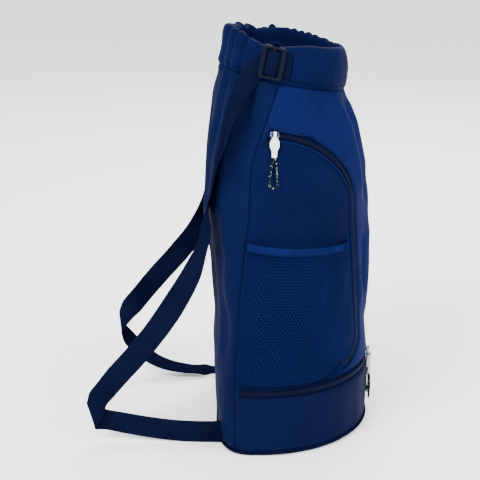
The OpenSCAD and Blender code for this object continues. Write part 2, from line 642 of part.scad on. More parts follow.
// Webbing tab that comes out of the base seam and holds the end of a loop
tab_end = -84.3;
function wall_x(y, h) =
    let (s = section(h), c = sqrt(1 - pow(y / s[5], s[6]))) s[4] - (s[4] - s[3]) * pow(c, 2 / s[6]);
module strap_tab(side, low, tall) color([0.15, 0.21, 0.32]) {
    thick = 3;
    seat = wall_x(end_y - 2 - thick / 2, low + tall) - gap;
    translate([tab_end, side * (end_y - 2) - thick / 2, low]) cube([seat - tab_end, thick, tall]);
}
module left_strap_tab() strap_tab(near, 0.4, webbing);
module right_strap_tab() strap_tab(far, 2.4, webbing * 0.4);

back_panel();
front_panel();
side_pocket_panel();
right_side_panel();
shoe_wall();
base_panel();
base_board();
divider_floor();
side_pocket_lining();
collar_casing();
cinch_webbing();
left_mesh_pocket();
right_mesh_pocket();
left_pocket_binding();
right_pocket_binding();
side_zip_tape();
side_zip_chain();
side_zip_stops();
side_zip_slider();
side_zip_pull();
side_zip_cord();
shoe_zip_tape();
shoe_zip_chain();
shoe_zip_stops();
left_shoe_slider();
left_shoe_pull();
left_shoe_cord();
right_shoe_slider();
right_shoe_pull();
right_shoe_cord();
left_buckle();
right_buckle();
left_buckle_wrap();
right_buckle_wrap();
left_shoulder_strap();
right_shoulder_strap();
left_strap_loop();
right_strap_loop();
left_strap_tab();
right_strap_tab();
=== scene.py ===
"""Racket backpack: cloth, webbing, mesh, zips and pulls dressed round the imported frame."""

from __future__ import annotations

import json
import logging
import math
import random
from dataclasses import dataclass, field
from enum import Enum
from typing import Callable, Sequence

import bmesh
import bpy
import numpy as np
from mathutils import Matrix, Vector

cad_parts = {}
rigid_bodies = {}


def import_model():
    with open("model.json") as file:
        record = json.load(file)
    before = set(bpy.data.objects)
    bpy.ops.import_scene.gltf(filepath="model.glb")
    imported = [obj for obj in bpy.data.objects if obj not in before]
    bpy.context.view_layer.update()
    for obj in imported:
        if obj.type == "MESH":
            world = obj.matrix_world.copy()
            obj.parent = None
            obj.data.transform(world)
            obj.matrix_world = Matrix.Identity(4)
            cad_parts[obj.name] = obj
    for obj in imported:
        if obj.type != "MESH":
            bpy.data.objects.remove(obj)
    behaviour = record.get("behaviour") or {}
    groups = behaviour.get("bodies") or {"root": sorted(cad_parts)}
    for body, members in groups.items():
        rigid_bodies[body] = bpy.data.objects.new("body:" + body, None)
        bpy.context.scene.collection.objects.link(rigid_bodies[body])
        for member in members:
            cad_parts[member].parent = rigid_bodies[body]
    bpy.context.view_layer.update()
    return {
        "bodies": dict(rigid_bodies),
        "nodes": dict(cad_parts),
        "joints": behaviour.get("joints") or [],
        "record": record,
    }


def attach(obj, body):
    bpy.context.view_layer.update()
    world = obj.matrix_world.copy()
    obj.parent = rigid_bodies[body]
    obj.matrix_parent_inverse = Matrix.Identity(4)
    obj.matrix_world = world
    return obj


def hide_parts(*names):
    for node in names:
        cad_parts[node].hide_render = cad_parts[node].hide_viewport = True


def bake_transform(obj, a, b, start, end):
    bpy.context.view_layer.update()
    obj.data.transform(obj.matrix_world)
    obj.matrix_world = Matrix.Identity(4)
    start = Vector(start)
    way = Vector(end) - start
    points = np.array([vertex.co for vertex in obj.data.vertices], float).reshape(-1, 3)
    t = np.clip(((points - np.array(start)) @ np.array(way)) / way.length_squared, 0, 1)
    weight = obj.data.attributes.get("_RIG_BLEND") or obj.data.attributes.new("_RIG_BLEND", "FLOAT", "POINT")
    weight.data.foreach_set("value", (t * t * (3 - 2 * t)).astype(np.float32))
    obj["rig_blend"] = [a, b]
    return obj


LOG = logging.getLogger("backpack")
MM = 0.001
Array = np.ndarray


class Side(Enum):
    """Side of the bag, as the sign of its Y."""

    LEFT = -1
    RIGHT = 1

    @property
    def word(self) -> str:
        """The side's name in piece names."""
        return self.name.lower()


# ---------------------------------------------------------------- the bag's shape

# level, forward slant, front, back, centre line, half width, squareness of back, of front
SECTIONS = (
    (0, 0, 87, -82, -35, 121, 3.6, 2),
    (71, 0, 87, -86, -35, 122, 3.4, 2),
    (130.667, 0, 83, -88, -35, 121, 3.2, 2),
    (190.333, 0.02, 83, -93, -34, 120, 3, 2),
    (250, 0.06, 83, -96, -32.7, 115.2, 2.8, 1.87),
    (300, 0.11, 77, -93, -32.7, 115.5, 2.6, 2.12),
    (345, 0.165, 68, -86, -19.4, 95.1, 2.4, 2.14),
    (386, 0.206, 55, -76, -10.2, 76.9, 2.2, 2),
    (408, 0.21, 57, -71, -8, 80, 2.2, 2),
    (430, 0.21, 53, -64, -6, 75, 2.2, 2),
)
SEAM = ((0, 111.5), (71, 111.5), (153.667, 106.2), (256, 97.8), (332, 98.5), (383, 95.5), (430, 95.5))
RIGHT_EDGE = ((78, 48), (130.667, 30), (300, 38), (345, 60), (386, 84))
RING = 71.0
TOP = 386.0
WEB_LEVEL = 406.0
PANEL_LOW = 78.0
GAP = 0.3
CLOTH = 1.2
REVEAL = 5.5
WEBBING = 25.0
SEED = 41
WAVES = 16


def table(rows: Sequence[tuple[float, float]], x: Array | float) -> Array:
    """Value of a stepped table at x, with straight lines between its rows.

    Args:
        rows: pairs of x and value.
        x: where to read it.

    Returns:
        The values.
    """
    return np.interp(x, [r[0] for r in rows], [r[1] for r in rows])


def unit(v: Array) -> Array:
    """Vectors of length one along the last axis."""
    return v / np.maximum(np.linalg.norm(v, axis=-1, keepdims=True), 1e-12)


def ease(t: Array | float) -> Array:
    """Smooth step from 0 to 1."""
    t = np.clip(t, 0, 1)
    return t * t * (3 - 2 * t)


class Skin:
    """The bag's outer surface: one rounded section per level, smooth between levels."""

    def __init__(self) -> None:
        """Works out the slopes of the section table."""
        self.rows = np.array(SECTIONS, float)
        self.slopes = self._slopes()

    def _slopes(self) -> Array:
        """Slopes that keep each column of the table from overshooting."""
        r = self.rows
        step = np.diff(r[:, 0])[:, None]
        secant = np.diff(r, axis=0) / step
        slopes = np.zeros_like(r)
        slopes[0], slopes[-1] = secant[0], secant[-1]
        w0 = 2 * step[1:] + step[:-1]
        w1 = step[1:] + 2 * step[:-1]
        same = secant[:-1] * secant[1:] > 0
        a = np.where(same, secant[:-1], 1)
        b = np.where(same, secant[1:], 1)
        slopes[1:-1] = np.where(same, (w0 + w1) / (w0 / a + w1 / b), 0)
        slopes[:, 0] = 1
        return slopes

    def section(self, h: Array) -> Array:
        """Row of the section table at each level.

        Args:
            h: levels in millimetres.

        Returns:
            Rows of eight values, on a last axis.
        """
        h = np.asarray(h, float)
        k = np.searchsorted(self.rows[1:-1, 0], h, side="right")
        a, b = self.rows[k], self.rows[k + 1]
        w = (b[..., 0] - a[..., 0])[..., None]
        t = (h[..., None] - a[..., :1]) / w
        return (
            a * ((1 + 2 * t) * (1 - t) ** 2)
            + self.slopes[k] * (w * t * (1 - t) ** 2)
            + b * (t * t * (3 - 2 * t))
            + self.slopes[k + 1] * (w * t * t * (t - 1))
        )

    def point(self, u: Array, h: Array) -> Array:
        """Point of the bare section at angle u from the front and level h."""
        u, h = np.broadcast_arrays(np.asarray(u, float), np.asarray(h, float))
        s = self.section(h)
        c, q = np.cos(np.radians(u)), np.sin(np.radians(u))
        front = c >= 0
        n = np.where(front, s[..., 7], s[..., 6])
        reach = np.where(front, s[..., 2] - s[..., 4], s[..., 4] - s[..., 3])
        x = s[..., 4] + np.where(front, 1, -1) * reach * np.abs(c) ** (2 / n)
        y = s[..., 5] * np.sign(q) * np.abs(q) ** (2 / n)
        return np.stack([x, y, h - s[..., 1] * x], -1)

    def along_u(self, u: Array, h: Array) -> Array:
        """How the point moves per degree of angle."""
        return (self.point(np.add(u, 1), h) - self.point(np.subtract(u, 1), h)) / 2

    def along_h(self, u: Array, h: Array) -> Array:
        """How the point moves per millimetre of level."""
        return (self.point(u, np.add(h, 1)) - self.point(u, np.subtract(h, 1))) / 2

    def normal(self, u: Array, h: Array) -> Array:
        """Outward direction of the skin."""
        return unit(np.cross(self.along_u(u, h), self.along_h(u, h)))

    def at(self, u: Array, h: Array, off: Array | float = 0.0) -> Array:
        """Point of the skin, off outside it.

        Args:
            u: angles from the front, in degrees.
            h: levels, in millimetres.
            off: distance outside the skin.

        Returns:
            Points in millimetres.
        """
        u, h = np.broadcast_arrays(np.asarray(u, float), np.asarray(h, float))
        return self.point(u, h) + np.asarray(off, float)[..., None] * self.normal(u, h)

    def side_at(self, x: Array, z: Array, side: Side) -> tuple[Array, Array]:
        """Angle and level of the skin point at x, z as seen from one side."""
        x, z = np.broadcast_arrays(np.asarray(x, float), np.asarray(z, float))
        h = z
        for _ in range(4):
            h = z + self.section(h)[..., 1] * x
        s = self.section(h)
        front = x >= s[..., 4]
        r = np.where(front, (x - s[..., 4]) / (s[..., 2] - s[..., 4]), (s[..., 4] - x) / (s[..., 4] - s[..., 3]))
        n = np.where(front, s[..., 7], s[..., 6])
        c = np.where(front, 1, -1) * np.clip(r, 0, 1) ** (n / 2)
        return side.value * np.degrees(np.arccos(c)), h


SKIN = Skin()


def seam(h: Array | float) -> Array:
    """Angle of the seam between the back and a side."""
    return table(SEAM, h)


@dataclass(frozen=True)
class ZipTrack:
    """Centre line of the side zip: an arc, a straight run down and a rounded corner."""

    arc_x: float = -28.5
    arc_z: float = 260.7
    arc_reach: float = 89.3
    arc_rise: float = 81.2
    arc_end: float = 84.0
    foot: tuple[float, float] = (71.0, 113.0)
    corner_x: float = 50.0
    corner_drop: float = 25.0

    def xz(self, t: Array) -> tuple[Array, Array]:
        """Side-view place at track position t, from 0 at the slider's rest to 3."""
        t = np.asarray(t, float)
        a = np.radians(self.arc_end * np.minimum(t, 1))
        x, z = self.arc_x + self.arc_reach * np.sin(a), self.arc_z + self.arc_rise * np.cos(a)
        run = np.clip(t - 1, 0, 1)
        x = x + (self.foot[0] - x) * run * (t > 1)
        z = z + (self.foot[1] - z) * run * (t > 1)
        q = np.radians(90 * np.clip(t - 2, 0, None))
        x = np.where(t > 2, self.corner_x + (self.foot[0] - self.corner_x) * np.cos(q), x)
        z = np.where(t > 2, self.foot[1] - self.corner_drop * np.sin(q), z)
        return x, z

    def at(self, t: Array) -> tuple[Array, Array]:
        """Angle and level on the skin at track position t."""
        x, z = self.xz(t)
        return SKIN.side_at(x, z, Side.LEFT)

    def side(self, t: Array, e: Array | float) -> tuple[Array, Array]:
        """Angle and level of the point e to the outer side of the centre line.

        Args:
            t: track positions.
            e: distance outwards from the centre line, in millimetres.

        Returns:
            Angles and levels.
        """
        t, e = np.broadcast_arrays(np.asarray(t, float), np.asarray(e, float))
        u, h = self.at(t)
        ua, ha = self.at(np.maximum(t - 0.02, 0))
        ub, hb = self.at(np.minimum(t + 0.02, 3))
        ahead = unit(SKIN.point(ub, hb) - SKIN.point(ua, ha))
        v = e[..., None] * np.cross(SKIN.normal(u, h), ahead)
        du, dh = SKIN.along_u(u, h), SKIN.along_h(u, h)
        a, b, c = (du * du).sum(-1), (du * dh).sum(-1), (dh * dh).sum(-1)
        p, q = (v * du).sum(-1), (v * dh).sum(-1)
        det = a * c - b * b
        return u + (c * p - b * q) / det, h + (a * q - b * p) / det


TRACK = ZipTrack()


@dataclass(frozen=True)
class Fold:
    """Soft ridge, or valley where height is below 0, along a line of [angle, level] on the skin."""

    line: tuple[tuple[float, float], ...]
    height: float
    width: float

    def offset(self, p: Array) -> Array:
        """How far the fold lifts each point.

        Args:
            p: points on the bare skin, shape (N, 3).

        Returns:
            Lift of each point, in millimetres.
        """
        ends = np.array(self.line, float)
        fine = np.linspace(0, len(ends) - 1, 8 * len(ends))
        k = np.arange(len(ends))
        pts = SKIN.point(np.interp(fine, k, ends[:, 0]), np.interp(fine, k, ends[:, 1]))
        best = np.full(len(p), 1e9)
        where = np.zeros(len(p))
        for i in range(len(pts) - 1):
            d = pts[i + 1] - pts[i]
            s = np.clip(((p - pts[i]) @ d) / (d @ d), 0, 1)
            dist = np.linalg.norm(p - pts[i] - s[:, None] * d, axis=1)
            near = dist < best
            best = np.where(near, dist, best)
            where = np.where(near, (i + s) / (len(pts) - 1), where)
        taper = ease(where / 0.22) * ease((1 - where) / 0.22)
        return 1.35 * self.height * taper * np.exp(-((best / (1.05 * self.width)) ** 2))


# Ridges and valleys of the limp cloth. Angles below 180 are on the wearer's right
FOLDS = (
    Fold(((236, 384), (232, 350), (228, 300), (226, 240)), 3.2, 8),
    Fold(((246, 386), (243, 352), (238, 316), (236, 262)), -2.6, 6),
    Fold(((222, 386), (219, 340), (215, 292), (212, 220)), 3.0, 9),
    Fold(((212, 386), (208, 350), (205, 308)), -2.4, 6),
    Fold(((252, 372), (249, 338), (246, 300), (245, 240), (243, 190)), -2.2, 10),
    Fold(((243, 300), (240, 250), (238, 200), (237, 150)), 3.4, 10),
    Fold(((232, 240), (233, 190), (231, 140), (232, 96)), -2.4, 9),
    Fold(((248, 200), (246, 160), (247, 120), (245, 86)), 1.8, 10),
    Fold(((200, 386), (198, 330), (196, 270), (197, 200)), 3.0, 10),
    Fold(((190, 384), (189, 340), (188, 300)), -2.4, 7),
    Fold(((178, 386), (176, 330), (175, 262), (176, 180)), 3.2, 11),
    Fold(((166, 386), (165, 345), (164, 300)), -2.2, 7),
    Fold(((154, 386), (151, 340), (149, 280), (150, 210)), 3.0, 10),
    Fold(((142, 386), (139, 350), (136, 306)), -2.4, 7),
    Fold(((130, 384), (126, 340), (122, 290), (120, 230)), 3.0, 9),
    Fold(((116, 372), (113, 330), (112, 280), (114, 220)), -2.6, 8),
    Fold(((186, 250), (188, 190), (186, 130)), -2.2, 13),
    Fold(((160, 240), (158, 180), (160, 120)), -2.0, 12),
    Fold(((206, 230), (209, 180), (207, 120), (208, 90)), -2.2, 11),
    Fold(((130, 220), (132, 170), (130, 110)), 2.2, 10),
    # front strip and the cloth above the side pocket
    Fold(((-62, 372), (-52, 362), (-44, 348)), -1.8, 9),
    Fold(((-78, 378), (-70, 371), (-60, 369)), 1.3, 6),
    Fold(((-38, 380), (-30, 350), (-26, 310), (-24, 262)), 2.2, 10),
    Fold(((-24, 384), (-17, 350), (-14, 300), (-13, 240)), -2.2, 9),
    Fold(((-8, 385), (-4, 340), (-2, 280)), 2.2, 11),
    Fold(((8, 384), (12, 345), (14, 300), (13, 250)), -2.0, 9),
    Fold(((24, 384), (27, 350), (27, 300)), 2.0, 10),
    Fold(((-22, 232), (-18, 205), (-20, 180), (-15, 150)), -2.6, 8),
    Fold(((-12, 250), (-6, 200), (-8, 150), (-4, 110)), 2.2, 10),
    Fold(((-27, 190), (-22, 165), (-24, 140)), 1.8, 6),
    Fold(((8, 210), (12, 160), (10, 110)), -1.8, 10),
    Fold(((60, 372), (66, 330), (70, 290)), 1.6, 10),
    Fold(((78, 380), (80, 350), (84, 316)), -1.6, 9),
    # inside the pocket zip
    Fold(((-78, 250), (-70, 268), (-62, 276)), -1.4, 14),
    Fold(((-88, 300), (-80, 270), (-76, 235)), 1.2, 12),
)


class Cloth:
    """The skin with the folds, gathers and ripples of limp cloth on it."""

    def __init__(self) -> None:
        """Draws the gathers and the ripples from a fixed seed."""
        rng = random.Random(SEED)
        centres, angle = [], 0.0
        while angle < 357:
            centres.append(angle)
            angle += rng.uniform(7.0, 12.0) if angle < 110 else rng.uniform(10.0, 23.0)
        self.pleats = np.array(centres + [360.0])
        self.strength = np.array([rng.uniform(0.55, 1.15) for _ in centres])
        self.waves = []
        for _ in range(WAVES):
            way = unit(np.array([rng.gauss(0, 1), rng.gauss(0, 1), rng.gauss(0, 0.5)]))
            wave = way * 2 * math.pi / rng.uniform(26, 95)
            self.waves.append((wave, rng.uniform(0, 6.28), rng.uniform(0.1, 0.3)))
        t = np.linspace(0, 3, 90)
        self.zip_line = SKIN.point(*TRACK.at(t))

    def gather(self, u: Array) -> Array:
        """Rounded pleats round the collar: 0 in the valleys, up to about 1 on the ridges."""
        u = np.asarray(u, float)
        v = np.mod(u + 2.2 * np.sin(np.radians(5 * u)), 360)
        k = np.clip(np.searchsorted(self.pleats, v, side="right") - 1, 0, len(self.strength) - 1)
        phase = (v - self.pleats[k]) / (self.pleats[k + 1] - self.pleats[k])
        return self.strength[k] * np.sin(np.pi * phase) ** 1.1

    def slackness(self, u: Array) -> Array:
        """How much cloth is gathered at each angle: most at the back, little under the buckles."""
        v = np.abs(np.mod(np.asarray(u, float) + 180, 360) - 180)
        far = np.mod(np.asarray(u, float), 360) < 100
        return 0.06 + 1.3 * ease((v - 104) / 30) + 0.55 * far * ease((104 - v) / 12) * ease(v / 12)

    def lift(self, u: Array, h: Array) -> Array:
        """How far the cloth stands off the bare skin.

        Args:
            u: angles from the front, in degrees.
            h: levels, in millimetres.

        Returns:
            Lift in millimetres, of the same shape.
        """
        u, h = np.broadcast_arrays(np.asarray(u, float), np.asarray(h, float))
        p = SKIN.point(u, h).reshape(-1, 3)
        v = np.mod(u.reshape(-1), 360)
        flat = h.reshape(-1)
        total = np.zeros(len(p))
        for fold in FOLDS:
            total += fold.offset(p)
        for k, phase, size in self.waves:
            total += size * np.sin(p @ k + phase)
        gathers = self.gather(v) * self.slackness(v) * 2.2 * np.exp(-np.maximum(TOP - flat, 0) / 30)
        total += gathers
        rear = np.abs(np.mod(v + 180, 360) - 180)
        total -= 3.4 * ease((rear - 102) / 14) * ease((TOP - 6 - flat) / 40) * ease((flat - 90) / 60)
        still = 1 - np.exp(-(((flat - RING) / 14) ** 2))
        still = still * ease((flat - 2) / 10)
        near = np.full(len(p), 1e9)
        left = p[:, 1] < 0
        if left.any():
            d = np.linalg.norm(p[left][:, None, :] - self.zip_line[None], axis=2).min(1)
            near[left] = d
        still = still * (1 - np.exp(-((near / 15) ** 2)))
        return (total * still).reshape(u.shape)

    def at(self, u: Array, h: Array, off: Array | float = 0.0) -> Array:
        """Point of the cloth, off outside it."""
        return SKIN.at(u, h, self.lift(u, h) + off)


CLOTH_SURFACE = Cloth()


# ---------------------------------------------------------------- mesh helpers


def link(name: str, data: bpy.types.ID) -> bpy.types.Object:
    """Linked object with the given mesh, lamp or camera."""
    obj = bpy.data.objects.new(name, data)
    bpy.context.scene.collection.objects.link(obj)
    return obj


def smooth(mesh: bpy.types.Mesh) -> None:
    """Shades every face of a mesh smooth."""
    mesh.polygons.foreach_set("use_smooth", [True] * len(mesh.polygons))


def new_object(name: str, points: Array, faces: Sequence[Sequence[int]], uv: Array | None = None) -> bpy.types.Object:
    """Mesh object from points in millimetres.

    Args:
        name: the piece's name.
        points: vertices, shape (N, 3), in millimetres.
        faces: vertex numbers of each face.
        uv: cloth coordinates of each vertex in millimetres, or None.

    Returns:
        The object, smooth shaded and linked.
    """
    mesh = bpy.data.meshes.new(name)
    mesh.from_pydata((np.asarray(points, float).reshape(-1, 3) * MM).tolist(), [], [list(f) for f in faces])
    smooth(mesh)
    if uv is not None:
        layer = mesh.uv_layers.new(name="cloth")
        index = np.zeros(len(mesh.loops), int)
        mesh.loops.foreach_get("vertex_index", index)
        layer.data.foreach_set("uv", (np.asarray(uv, float).reshape(-1, 2)[index] * MM * 10).ravel())
    mesh.validate()
    mesh.update()
    return link(name, mesh)


def grid_faces(m: int, n: int, closed: bool = False, start: int = 0, flip: bool = False) -> list[tuple[int, ...]]:
    """Quads of a grid of m rows and n columns.

    Args:
        m: rows.
        n: columns.
        closed: whether the last column joins the first.
        start: number of the first vertex.
        flip: whether the faces look the other way.

    Returns:
        The faces.
    """
    faces = []
    for i in range(m - 1):
        for j in range(n if closed else n - 1):
            k = (j + 1) % n
            quad = (start + i * n + j, start + i * n + k, start + (i + 1) * n + k, start + (i + 1) * n + j)
            faces.append(quad[::-1] if flip else quad)
    return faces


def tube_faces(rows: int, sides: int, start: int = 0) -> list[tuple[int, ...]]:
    """Faces of a tube of rings of points, with both ends closed."""
    last = start + (rows - 1) * sides
    ends = [tuple(range(start, start + sides))[::-1], tuple(range(last, last + sides))]
    return grid_faces(rows, sides, closed=True, start=start) + ends


def lengths(points: Array, axis: int = 0) -> Array:
    """Running length of a line or a grid of points along one axis."""
    steps = np.linalg.norm(np.diff(points, axis=axis), axis=-1)
    zero = np.zeros_like(np.take(steps, [0], axis))
    return np.concatenate([zero, np.cumsum(steps, axis)], axis)


def along_line(at: Array | float, s: Array, line: Array) -> Array:
    """Rows of a line at some running lengths, where s is the running length of each row."""
    return np.stack([np.interp(at, s, line[:, k]) for k in range(3)], -1)


def solidify(obj: bpy.types.Object, thick: float, offset: float = -1.0) -> bpy.types.Object:
    """Gives a sheet its thickness in millimetres."""
    mod = obj.modifiers.new("thickness", "SOLIDIFY")
    mod.thickness, mod.offset, mod.use_even_offset = thick * MM, offset, False
    return obj


def bevel(obj: bpy.types.Object, width: float) -> bpy.types.Object:
    """Rounds the sharp edges of a piece by width millimetres."""
    mod = obj.modifiers.new("rounding", "BEVEL")
    mod.width, mod.segments, mod.limit_method, mod.angle_limit = width * MM, 3, "ANGLE", math.radians(30)
    mod.use_clamp_overlap = True
    return obj


def tube_mesh(
    name: str, path: Array, radius: Array | float, sides: int = 8, closed: bool = False, squash: float = 1.0
) -> bpy.types.Object:
    """Tube along a line of points, with cloth coordinates along and round it.

    Args:
        name: the piece's name.
        path: centre line in millimetres, shape (N, 3).
        radius: its radius, one value or one per point.
        sides: points round it.
        closed: whether the line is a loop.
        squash: height of the tube's section over its width.

    Returns:
        The tube.
    """
    path = np.asarray(path, float)
    n = len(path)
    radius = np.broadcast_to(np.asarray(radius, float), (n,))
    if closed:
        ahead = unit(np.roll(path, -1, 0) - np.roll(path, 1, 0))
    else:
        ahead = unit(np.gradient(path, axis=0))
    side = np.zeros_like(path)
    start = np.array([0.31, 0.22, 1.0]) if abs(ahead[0][2]) < 0.9 else np.array([1.0, 0.2, 0.1])
    side[0] = unit(start - (start @ ahead[0]) * ahead[0])
    for i in range(1, n):
        v = side[i - 1] - (side[i - 1] @ ahead[i]) * ahead[i]
        side[i] = unit(v)
    other = np.cross(ahead, side)
    a = np.linspace(0, 2 * np.pi, sides, endpoint=False)
    ring = side[:, None] * np.cos(a)[None, :, None] + other[:, None] * np.sin(a)[None, :, None] * squash
    pts = path[:, None] + radius[:, None, None] * ring
    along = lengths(path)
    uv = np.stack(np.broadcast_arrays(along[:, None], (a * radius.mean())[None, :]), -1)
    if not closed:
        return new_object(name, pts, tube_faces(n, sides), uv)
    last = (n - 1) * sides
    turns = [(j, (j + 1) % sides) for j in range(sides)]
    faces = grid_faces(n, sides, closed=True) + [(last + j, last + k, k, j) for j, k in turns]
    return new_object(name, pts, faces, uv)


def join(name: str, parts: Sequence[bpy.types.Object]) -> bpy.types.Object:
    """One smooth shaded object from several."""
    bm = bmesh.new()
    for part in parts:
        part.data.transform(part.matrix_world)
        bm.from_mesh(part.data)
        bpy.data.objects.remove(part)
    mesh = bpy.data.meshes.new(name)
    bm.to_mesh(mesh)
    bm.free()
    smooth(mesh)
    return link(name, mesh)


def smooth_line(points: Array, step: float) -> tuple[Array, Array]:
    """Smooth curve through points, by length.

    Args:
        points: rows of numbers whose first three are a place in millimetres.
        step: spacing of the result.

    Returns:
        The rows of the curve, and the place of each on the row numbers of points.
    """
    p = np.asarray(points, float)
    d = np.maximum(np.linalg.norm(np.diff(p[:, :3], axis=0), axis=1), 1e-6)
    s = np.concatenate([[0], np.cumsum(d)])
    secant = np.diff(p, axis=0) / d[:, None]
    tangent = np.empty_like(p)
    tangent[0], tangent[-1] = secant[0], secant[-1]
    tangent[1:-1] = (secant[:-1] * d[1:, None] + secant[1:] * d[:-1, None]) / (d[:-1] + d[1:])[:, None]
    out, where = [], []
    for i in range(len(p) - 1):
        n = max(2, int(round(d[i] / step)))
        t = (np.arange(n) / n)[:, None]
        out.append(
            p[i] * ((1 + 2 * t) * (1 - t) ** 2)
            + tangent[i] * d[i] * t * (1 - t) ** 2
            + p[i + 1] * (t * t * (3 - 2 * t))
            + tangent[i + 1] * d[i] * t * t * (t - 1)
        )
        where.append(i + t[:, 0])
    out.append(p[-1:])
    where.append(np.array([len(p) - 1.0]))
    return np.concatenate(out), np.concatenate(where)


def stitches(
    name: str, line: Array, lift: Array, length: float = 2.6, pitch: float = 3.6, thick: float = 0.28
) -> bpy.types.Object:
    """Row of separate stitches along a line on the cloth.

    Args:
        name: the piece's name.
        line: points of the seam in millimetres, shape (N, 3).
        lift: outward direction at each point.
        length: length of a stitch.
        pitch: distance from one stitch to the next.
        thick: radius of the thread.

    Returns:
        One object with all the stitches.
    """
    s = lengths(line)
    count = int((s[-1] - length) / pitch)
    verts, faces = [], []
    sides = 5
    ring = np.linspace(0, 2 * np.pi, sides, endpoint=False)
    for i in range(count):
        at = [i * pitch + f * length for f in (0, 0.3, 0.7, 1)]
        mid, up = along_line(at, s, line), unit(along_line(at, s, lift))
        ahead = unit(mid[-1] - mid[0])
        across = unit(np.cross(up, ahead))
        base = len(verts)
        for k, (drop, size) in enumerate(((-0.25, 0.5), (0.12, 1.0), (0.12, 1.0), (-0.25, 0.5))):
            for a in ring:
                rise = drop + math.sin(a) * thick * size
                verts.append(mid[k] + up[k] * rise + across[k] * math.cos(a) * thick * size)
        faces += tube_faces(4, sides, base)
    return new_object(name, np.array(verts), faces)


def frame_matrix(p: Array, ex: Array, ez: Array) -> Matrix:
    """Place with X along ex and Z along ez at p, in millimetres."""
    ey = np.cross(ez, ex)
    m = Matrix.Identity(4)
    for i in range(3):
        m[i][0], m[i][1], m[i][2], m[i][3] = ex[i], ey[i], ez[i], p[i] * MM
    return m


def panel_points(left: Array, right: Array, columns: int) -> tuple[Array, Array]:
    """Even grid of angle and level between two edges.

    Args:
        left: [angle, level] of each row's start.
        right: [angle, level] of each row's end.
        columns: columns of the grid.

    Returns:
        Angles and levels, each of shape (rows, columns).
    """
    fine = np.linspace(0, 1, 161)[None, :, None]
    edge = left[:, None, :] * (1 - fine) + right[:, None, :] * fine
    s = lengths(SKIN.point(edge[..., 0], edge[..., 1]), 1)
    out = np.empty((len(left), columns, 2))
    for i in range(len(left)):
        t = np.interp(np.linspace(0, s[i, -1], columns), s[i], fine[0, :, 0])
        out[i] = left[i] * (1 - t[:, None]) + right[i] * t[:, None]
    return out[..., 0], out[..., 1]


@dataclass
class Panel:
    """One cloth panel sewn to its neighbours at its edges."""

    name: str
    left: Array
    right: Array
    columns: int
    sink: float = 1.3
    pucker: float = 0.35

    def build(self) -> bpy.types.Object:
        """Meshes the panel on the cloth, with its edges turned in at the seams.

        Returns:
            The panel, with its thickness.
        """
        u, h = panel_points(self.left, self.right, self.columns)
        bare = SKIN.point(u, h)
        along, up = lengths(bare, 1), lengths(bare, 0)
        edges = (along, along[:, -1:] - along, up, up[-1:] - up)
        lift = CLOTH_SURFACE.lift(u, h)
        wave = np.sin((along + up) * 0.75) + 0.6 * np.sin((along - up) * 0.47 + 1.0)
        for d in edges:
            lift = lift - self.sink * np.exp(-((d / 2.4) ** 2)) + self.pucker * wave * np.exp(-d / 7)
        m, n = u.shape
        obj = new_object(self.name, SKIN.at(u, h, lift), grid_faces(m, n), np.stack([along, up], -1))
        return solidify(obj, CLOTH)


def strip(
    name: str, rows: Sequence[tuple[Array, Array]], off: Sequence[Array | float], thick: float, cloth: bool = False
) -> bpy.types.Object:
    """Long strip on the skin from rows of angle and level.

    Args:
        name: the piece's name.
        rows: angles and levels of each line along the strip.
        off: distance of each line from the skin.
        thick: thickness of the strip, inwards from the lines.
        cloth: whether the strip follows the folded cloth and not the bare skin.

    Returns:
        The strip.
    """
    surface = CLOTH_SURFACE if cloth else SKIN
    pts = np.stack([surface.at(u, h, o) for (u, h), o in zip(rows, off)])
    mid, out = (len(rows) - 1) // 2, SKIN.normal(*rows[0])
    cross = np.cross(pts[mid][1:] - pts[mid][:-1], pts[mid + 1][:-1] - pts[mid][:-1])
    flip = (cross * out[:-1]).sum() < 0
    uv = np.stack([lengths(pts, 1), lengths(pts, 0)], -1)
    obj = new_object(name, pts, grid_faces(*pts.shape[:2], flip=bool(flip)), uv)
    return solidify(obj, thick)


# ---------------------------------------------------------------- finishes


def srgb(r: int, g: int, b: int) -> tuple[float, float, float, float]:
    """Linear colour from the usual 0 to 255 values."""
    linear = [c / 12.92 if c <= 0.04045 else ((c + 0.055) / 1.055) ** 2.4 for c in (r / 255, g / 255, b / 255)]
    return (*linear, 1.0)


